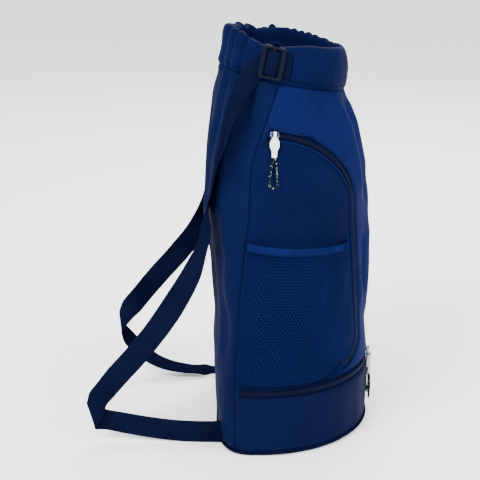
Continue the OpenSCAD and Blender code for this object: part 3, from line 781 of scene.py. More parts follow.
class Graph:
    """Short way to build a node tree."""

    def __init__(self, tree: bpy.types.NodeTree) -> None:
        """Starts from an empty tree."""
        self.tree = tree
        tree.nodes.clear()

    def add(self, kind: str, inputs: dict | None = None, **settings: object) -> bpy.types.Node:
        """Adds a node.

        Args:
            kind: node type without its ShaderNode prefix, or a full type name.
            inputs: value or source socket of each input, by name or number.
            settings: attributes of the node.

        Returns:
            The node.
        """
        full = kind if kind.startswith(("Node", "Shader")) else "ShaderNode" + kind
        node = self.tree.nodes.new(full)
        for key, value in settings.items():
            setattr(node, key, value)
        for key, value in (inputs or {}).items():
            self.put(node.inputs[key], value)
        return node

    def put(self, socket: bpy.types.NodeSocket, value: object) -> None:
        """Links or sets one input."""
        if isinstance(value, bpy.types.NodeSocket):
            self.tree.links.new(value, socket)
        else:
            socket.default_value = value

    def math(self, op: str, *values: object) -> bpy.types.NodeSocket:
        """Result of a math node on up to three values."""
        node = self.add("Math", dict(enumerate(values)), operation=op)
        return node.outputs[0]

    def mix(self, share: object, a: object, b: object, kind: str = "MIX") -> bpy.types.NodeSocket:
        """Result of mixing two colours."""
        node = self.add("Mix", data_type="RGBA", blend_type=kind)
        for index, value in ((0, share), (6, a), (7, b)):
            self.put(node.inputs[index], value)
        return node.outputs[2]

    def remap(
        self, value: object, low: float, high: float, to_low: float = 0.0, to_high: float = 1.0
    ) -> bpy.types.NodeSocket:
        """A value moved from one range to another and kept inside it."""
        node = self.add("MapRange", {0: value, 1: low, 2: high, 3: to_low, 4: to_high})
        return node.outputs[0]


class Effect(Enum):
    """Effects that several finishes share."""

    WEAVE = "plain_weave"
    RIBS = "woven_ribs"
    TONE = "uneven_tone"


VECTOR, FLOAT, COLOUR = "NodeSocketVector", "NodeSocketFloat", "NodeSocketColor"


def _group(
    which: Effect, inputs: Sequence[tuple[str, str, object]], outputs: Sequence[tuple[str, str]]
) -> tuple[bpy.types.NodeTree, Graph]:
    """Empty node group with its named sockets."""
    tree = bpy.data.node_groups.new(which.value, "ShaderNodeTree")
    for name, kind, value in inputs:
        socket = tree.interface.new_socket(name, in_out="INPUT", socket_type=kind)
        if value is not None:
            socket.default_value = value
    for name, kind in outputs:
        tree.interface.new_socket(name, in_out="OUTPUT", socket_type=kind)
    return tree, Graph(tree)


def weave_group() -> bpy.types.NodeTree:
    """Plain weave with slubs: a height for a bump and a shade for the colour."""
    tree, g = _group(
        Effect.WEAVE,
        [("Vector", VECTOR, None), ("Threads", FLOAT, 100.0), ("Slubs", FLOAT, 0.4)],
        [("Height", FLOAT), ("Shade", FLOAT)],
    )
    source = g.add("NodeGroupInput")
    split = g.add("SeparateXYZ", {0: source.outputs["Vector"]})
    turn = g.math("MULTIPLY", source.outputs["Threads"], 2 * math.pi)
    warp = g.math("SINE", g.math("MULTIPLY", split.outputs[0], turn))
    weft = g.math("SINE", g.math("MULTIPLY", split.outputs[1], turn))
    over = g.math("MULTIPLY", warp, weft)
    stretch = g.add("Mapping", {"Vector": source.outputs["Vector"], "Scale": (4.0, 26.0, 1.0)})
    slub = g.add("TexNoise", {"Vector": stretch.outputs[0], "Scale": 2.4, "Detail": 3.0})
    loose = g.math("MULTIPLY", g.math("SUBTRACT", slub.outputs["Fac"], 0.5), source.outputs["Slubs"])
    height = g.math("MULTIPLY_ADD", over, 0.5, g.math("MULTIPLY", loose, 3.0))
    shade = g.math("MULTIPLY_ADD", over, 0.12, g.math("MULTIPLY_ADD", loose, 1.2, 0.5))
    g.add("NodeGroupOutput", {"Height": height, "Shade": shade})
    return tree


def ribs_group() -> bpy.types.NodeTree:
    """Ribs across a band with a chevron in them, and a plainer edge on both sides."""
    tree, g = _group(
        Effect.RIBS,
        [("Vector", VECTOR, None), ("Ribs", FLOAT, 70.0), ("Columns", FLOAT, 40.0), ("Slant", FLOAT, 0.5)],
        [("Height", FLOAT), ("Shade", FLOAT)],
    )
    source = g.add("NodeGroupInput")
    split = g.add("SeparateXYZ", {0: source.outputs["Vector"]})
    column = g.math("MULTIPLY", split.outputs[1], source.outputs["Columns"])
    zigzag = g.math("PINGPONG", column, 1.0)
    slanted = g.math("MULTIPLY", zigzag, source.outputs["Slant"])
    along = g.math("MULTIPLY_ADD", split.outputs[0], source.outputs["Ribs"], slanted)
    rib = g.math("SINE", g.math("MULTIPLY", along, 2 * math.pi))
    valley = g.math("SINE", g.math("MULTIPLY", column, math.pi))
    groove = g.math("ABSOLUTE", valley)
    height = g.math("MULTIPLY_ADD", rib, 0.5, g.math("MULTIPLY", groove, 0.5))
    shade = g.math("MULTIPLY_ADD", height, 0.5, 0.4)
    g.add("NodeGroupOutput", {"Height": height, "Shade": shade})
    return tree


def tone_group() -> bpy.types.NodeTree:
    """Uneven dye, and edges lightened by scuffing and by a painted highlight: a colour from a base, a dark and a
    lighter edge one.
    """
    tree, g = _group(
        Effect.TONE,
        [
            ("Base", COLOUR, (0.5, 0.5, 0.5, 1)), ("Dark", COLOUR, (0.2, 0.2, 0.2, 1)),
            ("Worn", COLOUR, (0.8, 0.8, 0.8, 1)), ("Shade", FLOAT, 0.5), ("Patches", FLOAT, 14.0), ("Wear", FLOAT, 0.5),
        ],
        [("Color", COLOUR), ("Mask", FLOAT)],
    )
    source = g.add("NodeGroupInput")
    place = g.add("TexCoord")
    cloud = g.add("TexNoise", {"Vector": place.outputs["Object"], "Scale": source.outputs["Patches"], "Detail": 4.0})
    patch = g.remap(cloud.outputs["Fac"], 0.35, 0.68)
    shadow = g.math("SUBTRACT", 1.0, source.outputs["Shade"])
    share = g.math("MULTIPLY_ADD", patch, 0.45, g.math("MULTIPLY", shadow, 0.8))
    dyed = g.mix(share, source.outputs["Base"], source.outputs["Dark"])
    # Pointy edges and fold crests take the lighter edge colour: partly scuffing, partly a painted highlight where light
    # catches them.
    edge = g.add("NewGeometry").outputs["Pointiness"]
    scuff_and_highlight_edges = g.math("MULTIPLY", g.remap(edge, 0.52, 0.62), source.outputs["Wear"])
    grit = g.add("TexNoise", {"Vector": place.outputs["Object"], "Scale": 320.0, "Detail": 2.0})
    mask = g.math("MULTIPLY", scuff_and_highlight_edges, g.remap(grit.outputs["Fac"], 0.3, 0.6, 0.4, 1.0))
    g.add("NodeGroupOutput", {"Color": g.mix(mask, dyed, source.outputs["Worn"]), "Mask": mask})
    return tree


GROUP_MAKERS: dict[Effect, Callable[[], bpy.types.NodeTree]] = {
    Effect.WEAVE: weave_group,
    Effect.RIBS: ribs_group,
    Effect.TONE: tone_group,
}


def effect(g: Graph, which: Effect, inputs: dict) -> bpy.types.Node:
    """Places a shared effect in a material, building its group the first time.

    Args:
        g: graph of the material.
        which: the effect.
        inputs: its inputs.

    Returns:
        The group node.
    """
    tree = bpy.data.node_groups.get(which.value) or GROUP_MAKERS[which]()
    return g.add("Group", inputs, node_tree=tree)


def blank(name: str) -> tuple[bpy.types.Material, Graph]:
    """New material with an empty graph."""
    material = bpy.data.materials.new(name)
    material.use_nodes = True
    return material, Graph(material.node_tree)


def finish_with(
    g: Graph, colour: object, height: object, strength: float, distance: float, **values: object
) -> None:
    """Ends a material in a Principled BSDF with a bump.

    Args:
        g: graph of the material.
        colour: base colour.
        height: height of the bump.
        strength: strength of the bump.
        distance: depth of the bump in metres.
        values: other inputs, with _ for spaces.
    """
    normal = g.add("Bump", {"Height": height, "Strength": strength, "Distance": distance})
    shader = g.add("BsdfPrincipled", {"Base Color": colour, "Normal": normal.outputs[0]})
    for key, value in values.items():
        g.put(shader.inputs[key.replace("_", " ")], value)
    g.add("OutputMaterial", {"Surface": shader.outputs[0]})


def shift(colour: Sequence[float], k: float) -> tuple[float, float, float, float]:
    """A colour made lighter or darker."""
    return (*[min(1.0, c * k) for c in colour[:3]], 1.0)


Colour = tuple[float, float, float, float]


@dataclass(frozen=True)
class Surface:
    """A finish: one procedural material, made the first time it is asked for."""

    name: str
    colour: Colour

    def material(self) -> bpy.types.Material:
        """The material of this finish.

        Returns:
            The material, built when it isn't there yet.
        """
        found = bpy.data.materials.get(self.name)
        if found:
            return found
        material, g = blank(self.name)
        self.nodes(g)
        return material

    def nodes(self, g: Graph) -> None:
        """Builds the node tree.

        Args:
            g: graph of the new material.
        """
        raise NotImplementedError

    def tone(self, g: Graph, dark: float, worn: float, shade: object, patches: float, wear: float) -> object:
        """Uneven version of the colour, its edges lightened by scuffing and by a painted highlight.

        Args:
            g: graph of the material.
            dark: share of the colour left in its dark patches.
            worn: how much lighter the scuffed and highlit edges are.
            shade: socket of the shade.
            patches: scale of the patches.
            wear: how strongly edges take the scuffed and highlit colour.

        Returns:
            The socket of the colour.
        """
        inputs = {
            "Base": self.colour, "Dark": shift(self.colour, dark), "Worn": shift(self.colour, worn),
            "Shade": shade, "Patches": patches, "Wear": wear,
        }
        return effect(g, Effect.TONE, inputs).outputs["Color"]


@dataclass(frozen=True)
class WovenCloth(Surface):
    """Plain woven polyester."""

    threads: float = 115.0
    depth: float = 0.00022
    roughness: float = 0.62
    sheen: float = 0.04
    dark: float = 0.62
    # lift of the colour on fold crests and edges: scuffing and a painted highlight
    worn: float = 1.9

    def nodes(self, g: Graph) -> None:
        """Builds the node tree."""
        place = g.add("TexCoord").outputs["UV"]
        weave = effect(g, Effect.WEAVE, {"Vector": place, "Threads": self.threads, "Slubs": 0.5})
        tone = self.tone(g, self.dark, self.worn, weave.outputs["Shade"], 13.0, 0.04)
        rough = g.remap(weave.outputs["Shade"], 0.2, 0.8, self.roughness + 0.1, self.roughness - 0.08)
        finish_with(
            g, tone, weave.outputs["Height"], 0.35, self.depth, Roughness=rough, Sheen_Weight=self.sheen,
            Sheen_Roughness=0.4, Sheen_Tint=shift(self.colour, 5.0), Specular_IOR_Level=0.01,
        )


@dataclass(frozen=True)
class RibbedBand(Surface):
    """Webbing, elastic or zip tape: ribs across the band."""

    ribs: float = 60.0
    columns: float = 45.0
    slant: float = 0.5
    depth: float = 0.0004
    roughness: float = 0.55
    # strength of the lighter edges: scuffing and a painted highlight
    wear: float = 0.06

    def nodes(self, g: Graph) -> None:
        """Builds the node tree."""
        place = g.add("TexCoord").outputs["UV"]
        inputs = {"Vector": place, "Ribs": self.ribs, "Columns": self.columns, "Slant": self.slant}
        ribs = effect(g, Effect.RIBS, inputs)
        tone = self.tone(g, 0.5, 1.8, ribs.outputs["Shade"], 30.0, self.wear)
        rough = g.remap(ribs.outputs["Shade"], 0.0, 1.0, self.roughness + 0.15, self.roughness - 0.1)
        finish_with(g, tone, ribs.outputs["Height"], 0.6, self.depth, Roughness=rough, Specular_IOR_Level=0.0)


@dataclass(frozen=True)
class Moulded(Surface):
    """Moulded plastic or painted metal, with fine grain and edges lightened by scuffing and by a painted highlight."""

    roughness: float = 0.35
    metallic: float = 0.0
    # lift of the edge colour: scuffing and a painted highlight
    worn: float = 1.6
    grain: float = 900.0
    shine: float = 0.04

    def nodes(self, g: Graph) -> None:
        """Builds the node tree."""
        place = g.add("TexCoord").outputs["Object"]
        fine = g.add("TexNoise", {"Vector": place, "Scale": self.grain, "Detail": 3.0})
        broad = g.add("TexNoise", {"Vector": place, "Scale": 90.0, "Detail": 4.0})
        tone = self.tone(g, 0.82, self.worn, g.remap(fine.outputs["Fac"], 0.3, 0.7, 0.6, 1.0), 60.0, 0.2)
        rough = g.remap(broad.outputs["Fac"], 0.3, 0.7, self.roughness - 0.06, self.roughness + 0.12)
        finish_with(
            g, tone, fine.outputs["Fac"], 0.25, 0.00008,
            Roughness=rough, Metallic=self.metallic, Specular_IOR_Level=self.shine,
        )


@dataclass(frozen=True)
class FleckedCord(Surface):
    """Braided cord with pale flecks."""

    fleck: Colour

    def nodes(self, g: Graph) -> None:
        """Builds the node tree."""
        place = g.add("TexCoord").outputs["UV"]
        split = g.add("SeparateXYZ", {0: place})
        a = g.math("SINE", g.math("MULTIPLY", g.math("ADD", split.outputs[0], split.outputs[1]), 620.0))
        b = g.math("SINE", g.math("MULTIPLY", g.math("SUBTRACT", split.outputs[0], split.outputs[1]), 620.0))
        braid = g.math("MAXIMUM", a, b)
        cells = g.add("TexVoronoi", {"Vector": place, "Scale": 95.0})
        pick = g.add("SeparateColor", {0: cells.outputs["Color"]})
        few, small = g.math("LESS_THAN", pick.outputs[0], 0.2), g.math("LESS_THAN", cells.outputs["Distance"], 0.42)
        mask = g.math("MULTIPLY", few, small)
        shade = g.mix(g.remap(braid, -0.2, 1.0), shift(self.colour, 0.35), self.colour)
        finish_with(g, g.mix(mask, shade, self.fleck), braid, 0.7, 0.0003, Roughness=0.7, Specular_IOR_Level=0.1)


class Finish(Enum):
    """Every finish on the bag."""

    BACK = WovenCloth("back_cloth", srgb(9, 16, 48))
    POCKET = WovenCloth("pocket_cloth", srgb(8, 15, 48), roughness=0.66)
    # FRONT is a lighter copy of the same navy cloth: painted light on the front strip.
    FRONT = WovenCloth("front_cloth", srgb(11, 20, 62), roughness=0.58)
    PLAIN = WovenCloth("side_cloth", srgb(10, 17, 54))
    COLLAR = WovenCloth("collar_cloth", srgb(8, 15, 50), roughness=0.6)
    BASE = WovenCloth("base_weave", srgb(9, 15, 46), threads=80.0, roughness=0.55)
    # The dark lining finish, used also as painted shade in the collar's tunnel mouths.
    LINING = WovenCloth("lining_cloth", srgb(4, 6, 20), threads=160.0, roughness=0.75)
    WEBBING = RibbedBand("webbing_weave", srgb(11, 15, 38), ribs=52.0, columns=42.0)
    ELASTIC = RibbedBand("elastic_weave", srgb(15, 24, 68), ribs=70.0, columns=110.0, slant=0.0)
    TAPE = RibbedBand("zip_tape_weave", srgb(10, 13, 38), ribs=62.0, columns=90.0, slant=0.35)
    MESH = WovenCloth("mesh_yarn", srgb(20, 38, 98), threads=140.0, roughness=0.6)
    COIL = Moulded("zip_coil", srgb(9, 13, 36), roughness=0.45)
    THREAD = Moulded("sewing_thread", srgb(6, 18, 52), roughness=0.65)
    SLIDER = Moulded("slider_paint", srgb(50, 62, 96), roughness=0.28, metallic=0.75, worn=2.4, shine=0.5)
    PULL = Moulded("pull_moulding", srgb(214, 216, 220), roughness=0.4, worn=1.05, shine=0.4)
    BUCKLE = Moulded("buckle_moulding", srgb(3, 8, 22), roughness=0.36, worn=1.4, shine=0.06)
    CORD = FleckedCord("cord_braid", srgb(4, 12, 28), srgb(196, 222, 226))
    BOARD = Moulded("stiffener_board", srgb(60, 60, 62), roughness=0.7)

    def on(self, obj: bpy.types.Object) -> bpy.types.Object:
        """Gives a piece this finish."""
        obj.data.materials.clear()
        obj.data.materials.append(self.value.material())
        return obj


def dress(obj: bpy.types.Object, finish: Finish, body: str, slot: str, *nodes: str) -> bpy.types.Object:
    """Finish, body and replaced nodes of a new piece.

    Args:
        obj: the piece, in place.
        finish: its finish.
        body: the body it rides on.
        slot: the record's material slot; not used.
        nodes: CAD nodes it stands for.

    Returns:
        The piece.
    """
    finish.on(obj)
    if "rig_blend" not in obj:
        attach(obj, body)
    if nodes:
        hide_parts(*nodes)
    LOG.info("built %s", obj.name)
    return obj


def declare_cord(path: Array) -> None:
    """Reads the first point of the centre line of a cord fixed to the bag at both ends; nothing more is done with it.

    Args:
        path: its centre line in metres.
    """
    tuple(path[0])


# ---------------------------------------------------------------- the bag


@dataclass
class BodyPanels:
    """The sewn cloth body: back, front, both sides, the shoe wall and the bottom."""

    base_cloth: float = 2.0
    turn: float = 0.82
    step: float = 1 / 32
    rows: int = 190

    def _run(self, t: Array, exact: Callable[[Array], tuple[Array, Array]], corner: tuple[float, float]) -> Array:
        """Edge of [angle, level] at t, with its first step drawn straight from a corner."""
        u, h = exact(np.maximum(t, self.step))
        share = np.clip(t / self.step, 0, 1)
        return np.stack([corner[0] + (u - corner[0]) * share, corner[1] + (h - corner[1]) * share], -1)

    def pocket_edges(self) -> tuple[Array, Array]:
        """Left and right edges of the panel inside the side zip."""
        t = np.linspace(0, 1, self.rows)
        h = PANEL_LOW + (float(TRACK.at(np.array([0.0]))[1][0]) - 8 - PANEL_LOW) * t
        corner = (float(SKIN.side_at(np.array([25.0]), np.array([PANEL_LOW]), Side.LEFT)[0][0]), PANEL_LOW)
        right = self._run(t, lambda s: TRACK.side(3 - 2.97 * s, -REVEAL), corner)
        return np.stack([-seam(h), h], -1), right

    def front_edges(self) -> tuple[Array, Array]:
        """Left and right edges of the front panel."""
        t = np.linspace(0, 1, self.rows)
        start = float(TRACK.at(np.array([0.0]))[1][0]) + 7
        corner = (float(SKIN.side_at(np.array([37.0]), np.array([PANEL_LOW]), Side.LEFT)[0][0]), PANEL_LOW)
        last = math.floor(self.turn / self.step) * self.step
        zipped = self._run(np.minimum(t, last), lambda s: TRACK.side(3 * (1 - s / self.turn), REVEAL), corner)
        h = start + (TOP - GAP - start) * (t - self.turn) / (1 - self.turn)
        sewn = np.stack([-seam(h), h], -1)
        share = np.clip((t - last) / self.step, 0, 1)[:, None]
        first = np.array([np.interp(last + self.step, t, sewn[:, 0]), np.interp(last + self.step, t, sewn[:, 1])])
        bridge = zipped * (1 - share) + first * share
        left = np.where((t < last + self.step)[:, None], bridge, sewn)
        level = PANEL_LOW + (TOP - GAP - PANEL_LOW) * t
        return left, np.stack([table(RIGHT_EDGE, level), level], -1)

    def build(self) -> None:
        """Builds every panel and the rolled bottom."""
        h = np.linspace(self.base_cloth + GAP, TOP - GAP, 210)
        s = seam(h) + 0.2
        back = Panel("back_panel_cloth", np.stack([s, h], -1), np.stack([360 - s, h], -1), 150)
        dress(back.build(), Finish.BACK, "bag", "body_cloth", "back_panel")
        left, right = self.front_edges()
        front = Panel("front_panel_cloth", left, right, 150)
        dress(front.build(), Finish.FRONT, "bag", "body_cloth", "front_panel")
        left, right = self.pocket_edges()
        pocket = Panel("side_pocket_cloth", left, right, 110, pucker=0.2)
        dress(pocket.build(), Finish.POCKET, "bag", "body_cloth", "side_pocket_panel")
        h = np.linspace(PANEL_LOW, TOP - GAP, 170)
        side = Panel("right_side_cloth", np.stack([table(RIGHT_EDGE, h) + 0.2, h], -1), np.stack([seam(h), h], -1), 80)
        dress(side.build(), Finish.PLAIN, "bag", "body_cloth", "right_side_panel")
        h = np.linspace(self.base_cloth + GAP, RING - REVEAL, 44)
        edge = np.full_like(h, float(seam(0)))
        wall = Panel("shoe_wall_cloth", np.stack([-edge, h], -1), np.stack([edge, h], -1), 240)
        dress(wall.build(), Finish.BASE, "bag", "body_cloth", "shoe_wall")
        self._bottom()
        self._covers()
        self._inside()
        self._seams()
        self._allowances()

    def _allowances(self) -> None:
        """Cloth turned in behind the long seams, which closes them from inside."""
        h = np.linspace(self.base_cloth + GAP + 1.0, TOP - GAP, 200)
        for name, middle in (("left_back", -seam(h)), ("right_back", seam(h)), ("front_side", table(RIGHT_EDGE, h))):
            spots = [(middle + a, h) for a in (-5, -2.5, 0, 2.5, 5)]
            turned = strip(f"{name}_allowance", spots, (-1.1, -1.2, -2.0, -1.2, -1.1), 0.9, cloth=True)
            dress(turned, Finish.PLAIN, "bag", "body_cloth")

    def _bottom(self) -> None:
        """Rolled base cloth and the welt sewn round it."""
        u = np.linspace(0, 360, 240, endpoint=False)
        rim = SKIN.point(u, np.zeros_like(u))
        centre = np.array([-20.0, 0, 0])
        rings = []
        rolled = ((0.0, 0.6), (0.5, 0.5), (0.9, 0.3), (0.975, 0.15), (0.99, 0.7), (0.996, 1.4), (0.985, 2.0))
        for share, level in rolled:
            ring = centre + (rim - centre) * share
            ring[:, 2] = level
            rings.append(ring)
        pts = np.stack(rings)
        uv = pts[..., :2]
        obj = new_object("base_cloth_bottom", pts, grid_faces(len(rings), len(u), closed=True, flip=True), uv)
        dress(solidify(obj, 0.5), Finish.BASE, "bag", "base_cloth", "base_panel")
        line = SKIN.at(u, np.full_like(u, 3.2), 0.3)
        welt = tube_mesh("base_welt", line, 1.5, sides=10, closed=True)
        dress(welt, Finish.TAPE, "bag", "base_cloth")

    def _covers(self) -> None:
        """Cloth behind the ends of the zips, where the panels part."""
        levels = np.linspace(318, 356, 20)
        spots = [(-seam(levels) - 4 + k * 6.5, levels) for k in range(5)]
        cover = strip("side_zip_end_cover", spots, [-2.9] * 5, 0.5)
        dress(cover, Finish.POCKET, "bag", "body_cloth")
        for side in Side:
            levels = np.linspace(RING - 9, PANEL_LOW + 3, 10)
            spots = [(np.full_like(levels, side.value * a), levels) for a in (104, 107, 110, 112.5)]
            cover = strip(f"{side.word}_ring_end_cover", spots, [-1.6] * 4, 0.5)
            dress(cover, Finish.BACK, "bag", "body_cloth")

    def _inside(self) -> None:
        """Finishes for the pieces that only show through the mouth."""
        nodes = FRAME["nodes"]
        Finish.LINING.on(nodes["divider_floor"])
        Finish.LINING.on(nodes["side_pocket_lining"])
        Finish.BOARD.on(nodes["base_board"])

    def _row(self, name: str, u: Array, h: Array) -> None:
        """Row of stitches on the folded cloth."""
        lift = CLOTH_SURFACE.lift(u, h)
        obj = stitches(name, SKIN.at(u, h, lift + 0.12), SKIN.normal(u, h))
        dress(obj, Finish.THREAD, "bag", "body_cloth")

    def _seams(self) -> None:
        """Top stitching along the panel seams."""
        h = np.linspace(84, TOP - 6, 160)
        self._row("right_back_stitching", seam(h) + 3.4, h)
        self._row("front_side_stitching", table(RIGHT_EDGE, h) - 3.2, h)
        h = np.linspace(350, TOP - 6, 30)
        self._row("left_back_stitching", -seam(h) + 3.4, h)
        u = np.linspace(-108, 108, 220)
        self._row("shoe_wall_stitching", u, np.full_like(u, RING - REVEAL - 3.0))
        self._row("ring_top_stitching", u, np.full_like(u, PANEL_LOW + 2.8))
        self._row("base_stitching", u, np.full_like(u, 8.0))
        t = np.linspace(0.03, 2.95, 200)
        self._row("side_zip_outer_stitching", *TRACK.side(t, REVEAL + 2.6))
        self._row("side_zip_inner_stitching", *TRACK.side(t, -REVEAL - 2.2))


# angle and drop of the limp rim, from the front round the wearer's right
RIM_DROP = (
    (0, 1), (30, 3), (60, 2), (80, 1), (98, 3), (115, 8), (130, 9), (150, 7), (180, 5), (210, 4.5), (225, 7), (235, 9),
    (245, 8.5), (260, 7), (275, 3), (290, 0), (330, -1), (360, 1),
)


@dataclass
class Collar:
    """Gathered collar with a webbing tunnel, its mouths and the webbing that runs through."""

    columns: int = 720
    inside: float = -7.2
    mouth_u: float = 88.0
    tail: float = 103.5

    def build(self) -> None:
        """Builds the casing, the cinch webbing and the stitching."""
        self._casing()
        self._webbing()
        self._stitching()

    def _casing(self) -> None:
        """Casing as one closed loop: up the outside, over the rim and down the inside."""
        u = np.linspace(0, 360, self.columns, endpoint=False)
        gather = CLOTH_SURFACE.gather(u) * CLOTH_SURFACE.slackness(u)
        v = np.abs(np.mod(u + 180, 360) - 180)
        under = np.clip(np.exp(-(((v - 103) / 20) ** 4)), 0, 1)
        front = 1 - ease((v - 92) / 20)
        near = front * (u > 180)
        fine = (0.25 * np.sin(np.radians(u * 47)) + 0.2 * np.sin(np.radians(u * 31 + 60))) * (1 - 0.75 * near)
        drop = table(RIM_DROP, u)
        # level, off, share of the gathers, rise of the rim
        profile = [
            (TOP - 0.2, -1.5, 1.0, 0), (TOP + 0.8, -0.9, 1.0, 0), (TOP + 2.4, 0.0, 1.0, 0), (TOP + 5, 0.6, 0.95, 0),
            (391, 0.9, 0.85, 0), (395, 1.0, 0.8, 0), (400, 0.9, 0.8, 0), (405, 0.8, 0.85, 0), (410, 0.8, 0.95, 0),
            (415, 0.9, 1.1, 0), (419, 1.0, 1.25, 0.1), (423, 0.9, 1.4, 0.3), (426, 0.5, 1.5, 0.6),
            (428.4, -0.4, 1.5, 0.9), (430, -1.9, 1.3, 1.0), (430.6, -3.8, 1.0, 1.0), (429.6, -5.6, 0.8, 0.9),
            (427.4, -6.8, 0.6, 0.6), (423, -7.6, 0.6, 0.3), (417, self.inside - 0.6, 0.7, 0),
            (410, self.inside - 0.6, 0.8, 0),
            (402, self.inside - 0.4, 0.8, 0), (394, self.inside, 0.7, 0), (TOP + 1, self.inside, 0.6, 0),
        ]
        lift = CLOTH_SURFACE.lift(u, np.full_like(u, TOP))
        pts = []
        for level, off, share, rise in profile:
            calm = 1 - 0.85 * under * ease((level - 389) / 4) * ease((424 - level) / 5) * (off > -1.4)
            still = 1 - 0.75 * front * ease((level - TOP - 1) / 6)
            out = off + (lift * share * still + gather * 0.9 * share + fine * share) * calm
            h = level + rise * (2.6 * gather + 0.8 * fine - 0.8) - drop * ease((level - 400) / 26)
            pts.append(SKIN.at(u, h, out))
        grid = np.stack(pts)
        uv = np.stack([lengths(grid, 1), lengths(grid, 0)], -1)
        faces = []
        m, n = grid.shape[:2]
        mouth = np.abs(v - self.mouth_u) < 0.75
        for i in range(m - 1):
            for j in range(n):
                if 394 <= profile[i][0] <= 418 and profile[i][1] > 0 and mouth[j]:
                    continue
                k = (j + 1) % n
                faces.append((i * n + j, i * n + k, (i + 1) * n + k, (i + 1) * n + j))
        obj = new_object("collar_cloth", grid, faces, uv)
        dress(solidify(obj, 0.9), Finish.COLLAR, "bag", "body_cloth", "collar_casing")

    def _webbing(self) -> None:
        """Webbing from under one buckle, through the tunnel and round to the other."""
        mouth = self.mouth_u
        rows = [(a, 2.3) for a in np.arange(self.tail, mouth + 2.4, -1.0)]
        rows += [(mouth + 1, 0.6), (mouth - 1.5, -2.0), (mouth - 5, -3.9)]
        rows += [(a, -3.9) for a in np.arange(mouth - 10, -1, -6.0)]
        stations = [(-a, o) for a, o in rows] + [(a, o) for a, o in reversed(rows) if a > 1]
        rings = []
        for a, off in stations:
            p = SKIN.at(np.array(a), np.array(WEB_LEVEL), np.array(off))
            wide = unit(SKIN.along_h(np.array(a), np.array(WEB_LEVEL)))
            rings.append((*p, *wide, WEBBING))
        obj = Ribbon("cinch_webbing_band", np.array(rings)).build()
        dress(obj, Finish.WEBBING, "bag", "webbing", "cinch_webbing")

    def _stitching(self) -> None:
        """Stitches just above the collar seam."""
        u = np.linspace(0, 360, 400)
        h = np.full_like(u, TOP + 4.4)
        front = 1 - ease((np.abs(np.mod(u + 180, 360) - 180) - 92) / 20)
        lift = CLOTH_SURFACE.lift(u, np.full_like(u, TOP)) * (1 - 0.75 * front * ease(3.4 / 6))
        gather = CLOTH_SURFACE.gather(u) * CLOTH_SURFACE.slackness(u)
        line = SKIN.at(u, h, 0.55 + lift + gather * 0.88)
        dress(stitches("collar_stitching", line, SKIN.normal(u, h)), Finish.THREAD, "bag", "body_cloth")
        for side in Side:
            self._mouth_fold(side)

    def _mouth_fold(self, side: Side) -> None:
        """Hem of the casing that arches over the webbing above one buckle, with a dark sheet under the arch as painted
        shade in the tunnel mouth.
        """
        arch = [(-6.4, 417), (-6.0, 421), (-4.2, 424.4), (-0.6, 426.0), (2.8, 424.6), (4.8, 421), (5.4, 417)]
        line = smooth_line([(x, h, 0) for x, h in arch], 0.7)[0]
        u = side.value * (100.5 - line[:, 0] * 0.72)
        bow = np.sin(np.linspace(0, np.pi, len(u)))
        rows = [(u, line[:, 1] - d) for d in (2.6, 1.2, 0.0, 0.3, 1.6)]
        off = [a + b * bow for a, b in ((0, 0.6), (1.6, 2.6), (2.4, 4.2), (1.6, 4.4), (0.2, 3.0))]
        hem = strip(f"{side.word}_casing_hem", rows, off, 0.7)
        dress(hem, Finish.COLLAR, "bag", "body_cloth")
        # A sheet of the dark lining finish under the arch is painted shade for the hollow of the tunnel mouth.
        levels = np.linspace(0, 1, 6)
        rows = [(u, 413 + (line[:, 1] - 1.6 - 413) * f) for f in levels]
        dress(strip(f"{side.word}_casing_hollow", rows, [1.5] * 6, 0.3), Finish.LINING, "bag", "body_cloth")


@dataclass
class Ribbon:
    """Webbing along rings of [place, width direction, width], in millimetres."""

    name: str
    rings: Array
    thick: float = 1.6
    step: float = 2.0

    def centre(self) -> Array:
        """Smooth rings, a short step apart."""
        rings = np.array(self.rings, float)
        for i in range(1, len(rings)):
            if rings[i, 3:6] @ rings[i - 1, 3:6] < 0:
                rings[i, 3:6] *= -1
        return smooth_line(rings, self.step)[0]

    def build(self) -> bpy.types.Object:
        """Meshes the ribbon with rounded edges.

        Returns:
            The ribbon.
        """
        fine = self.centre()
        p = fine[:, :3]
        ahead = unit(np.gradient(p, axis=0))
        wide = unit(fine[:, 3:6])
        up = unit(np.cross(ahead, wide))
        half, t = fine[:, 6] / 2, self.thick / 2
        spots = [-1, -0.97, -0.9, -0.75, -0.5, -0.25, 0, 0.25, 0.5, 0.75, 0.9, 0.97, 1]
        body = [min(1.0, 0.25 + 0.75 * (1 - abs(w) ** 14)) for w in spots]
        ring = [(w, t * b) for w, b in zip(spots, body)] + [(w, -t * b) for w, b in zip(spots[::-1], body[::-1])]
        pts = np.stack([p + wide * (half * w)[:, None] + up * z for w, z in ring], 1)
        along = lengths(p)
        uv = np.stack(np.broadcast_arrays(along[:, None], np.array([w * 12.5 for w, _ in ring])[None, :]), -1)
        return new_object(self.name, pts, tube_faces(len(p), len(ring)), uv)


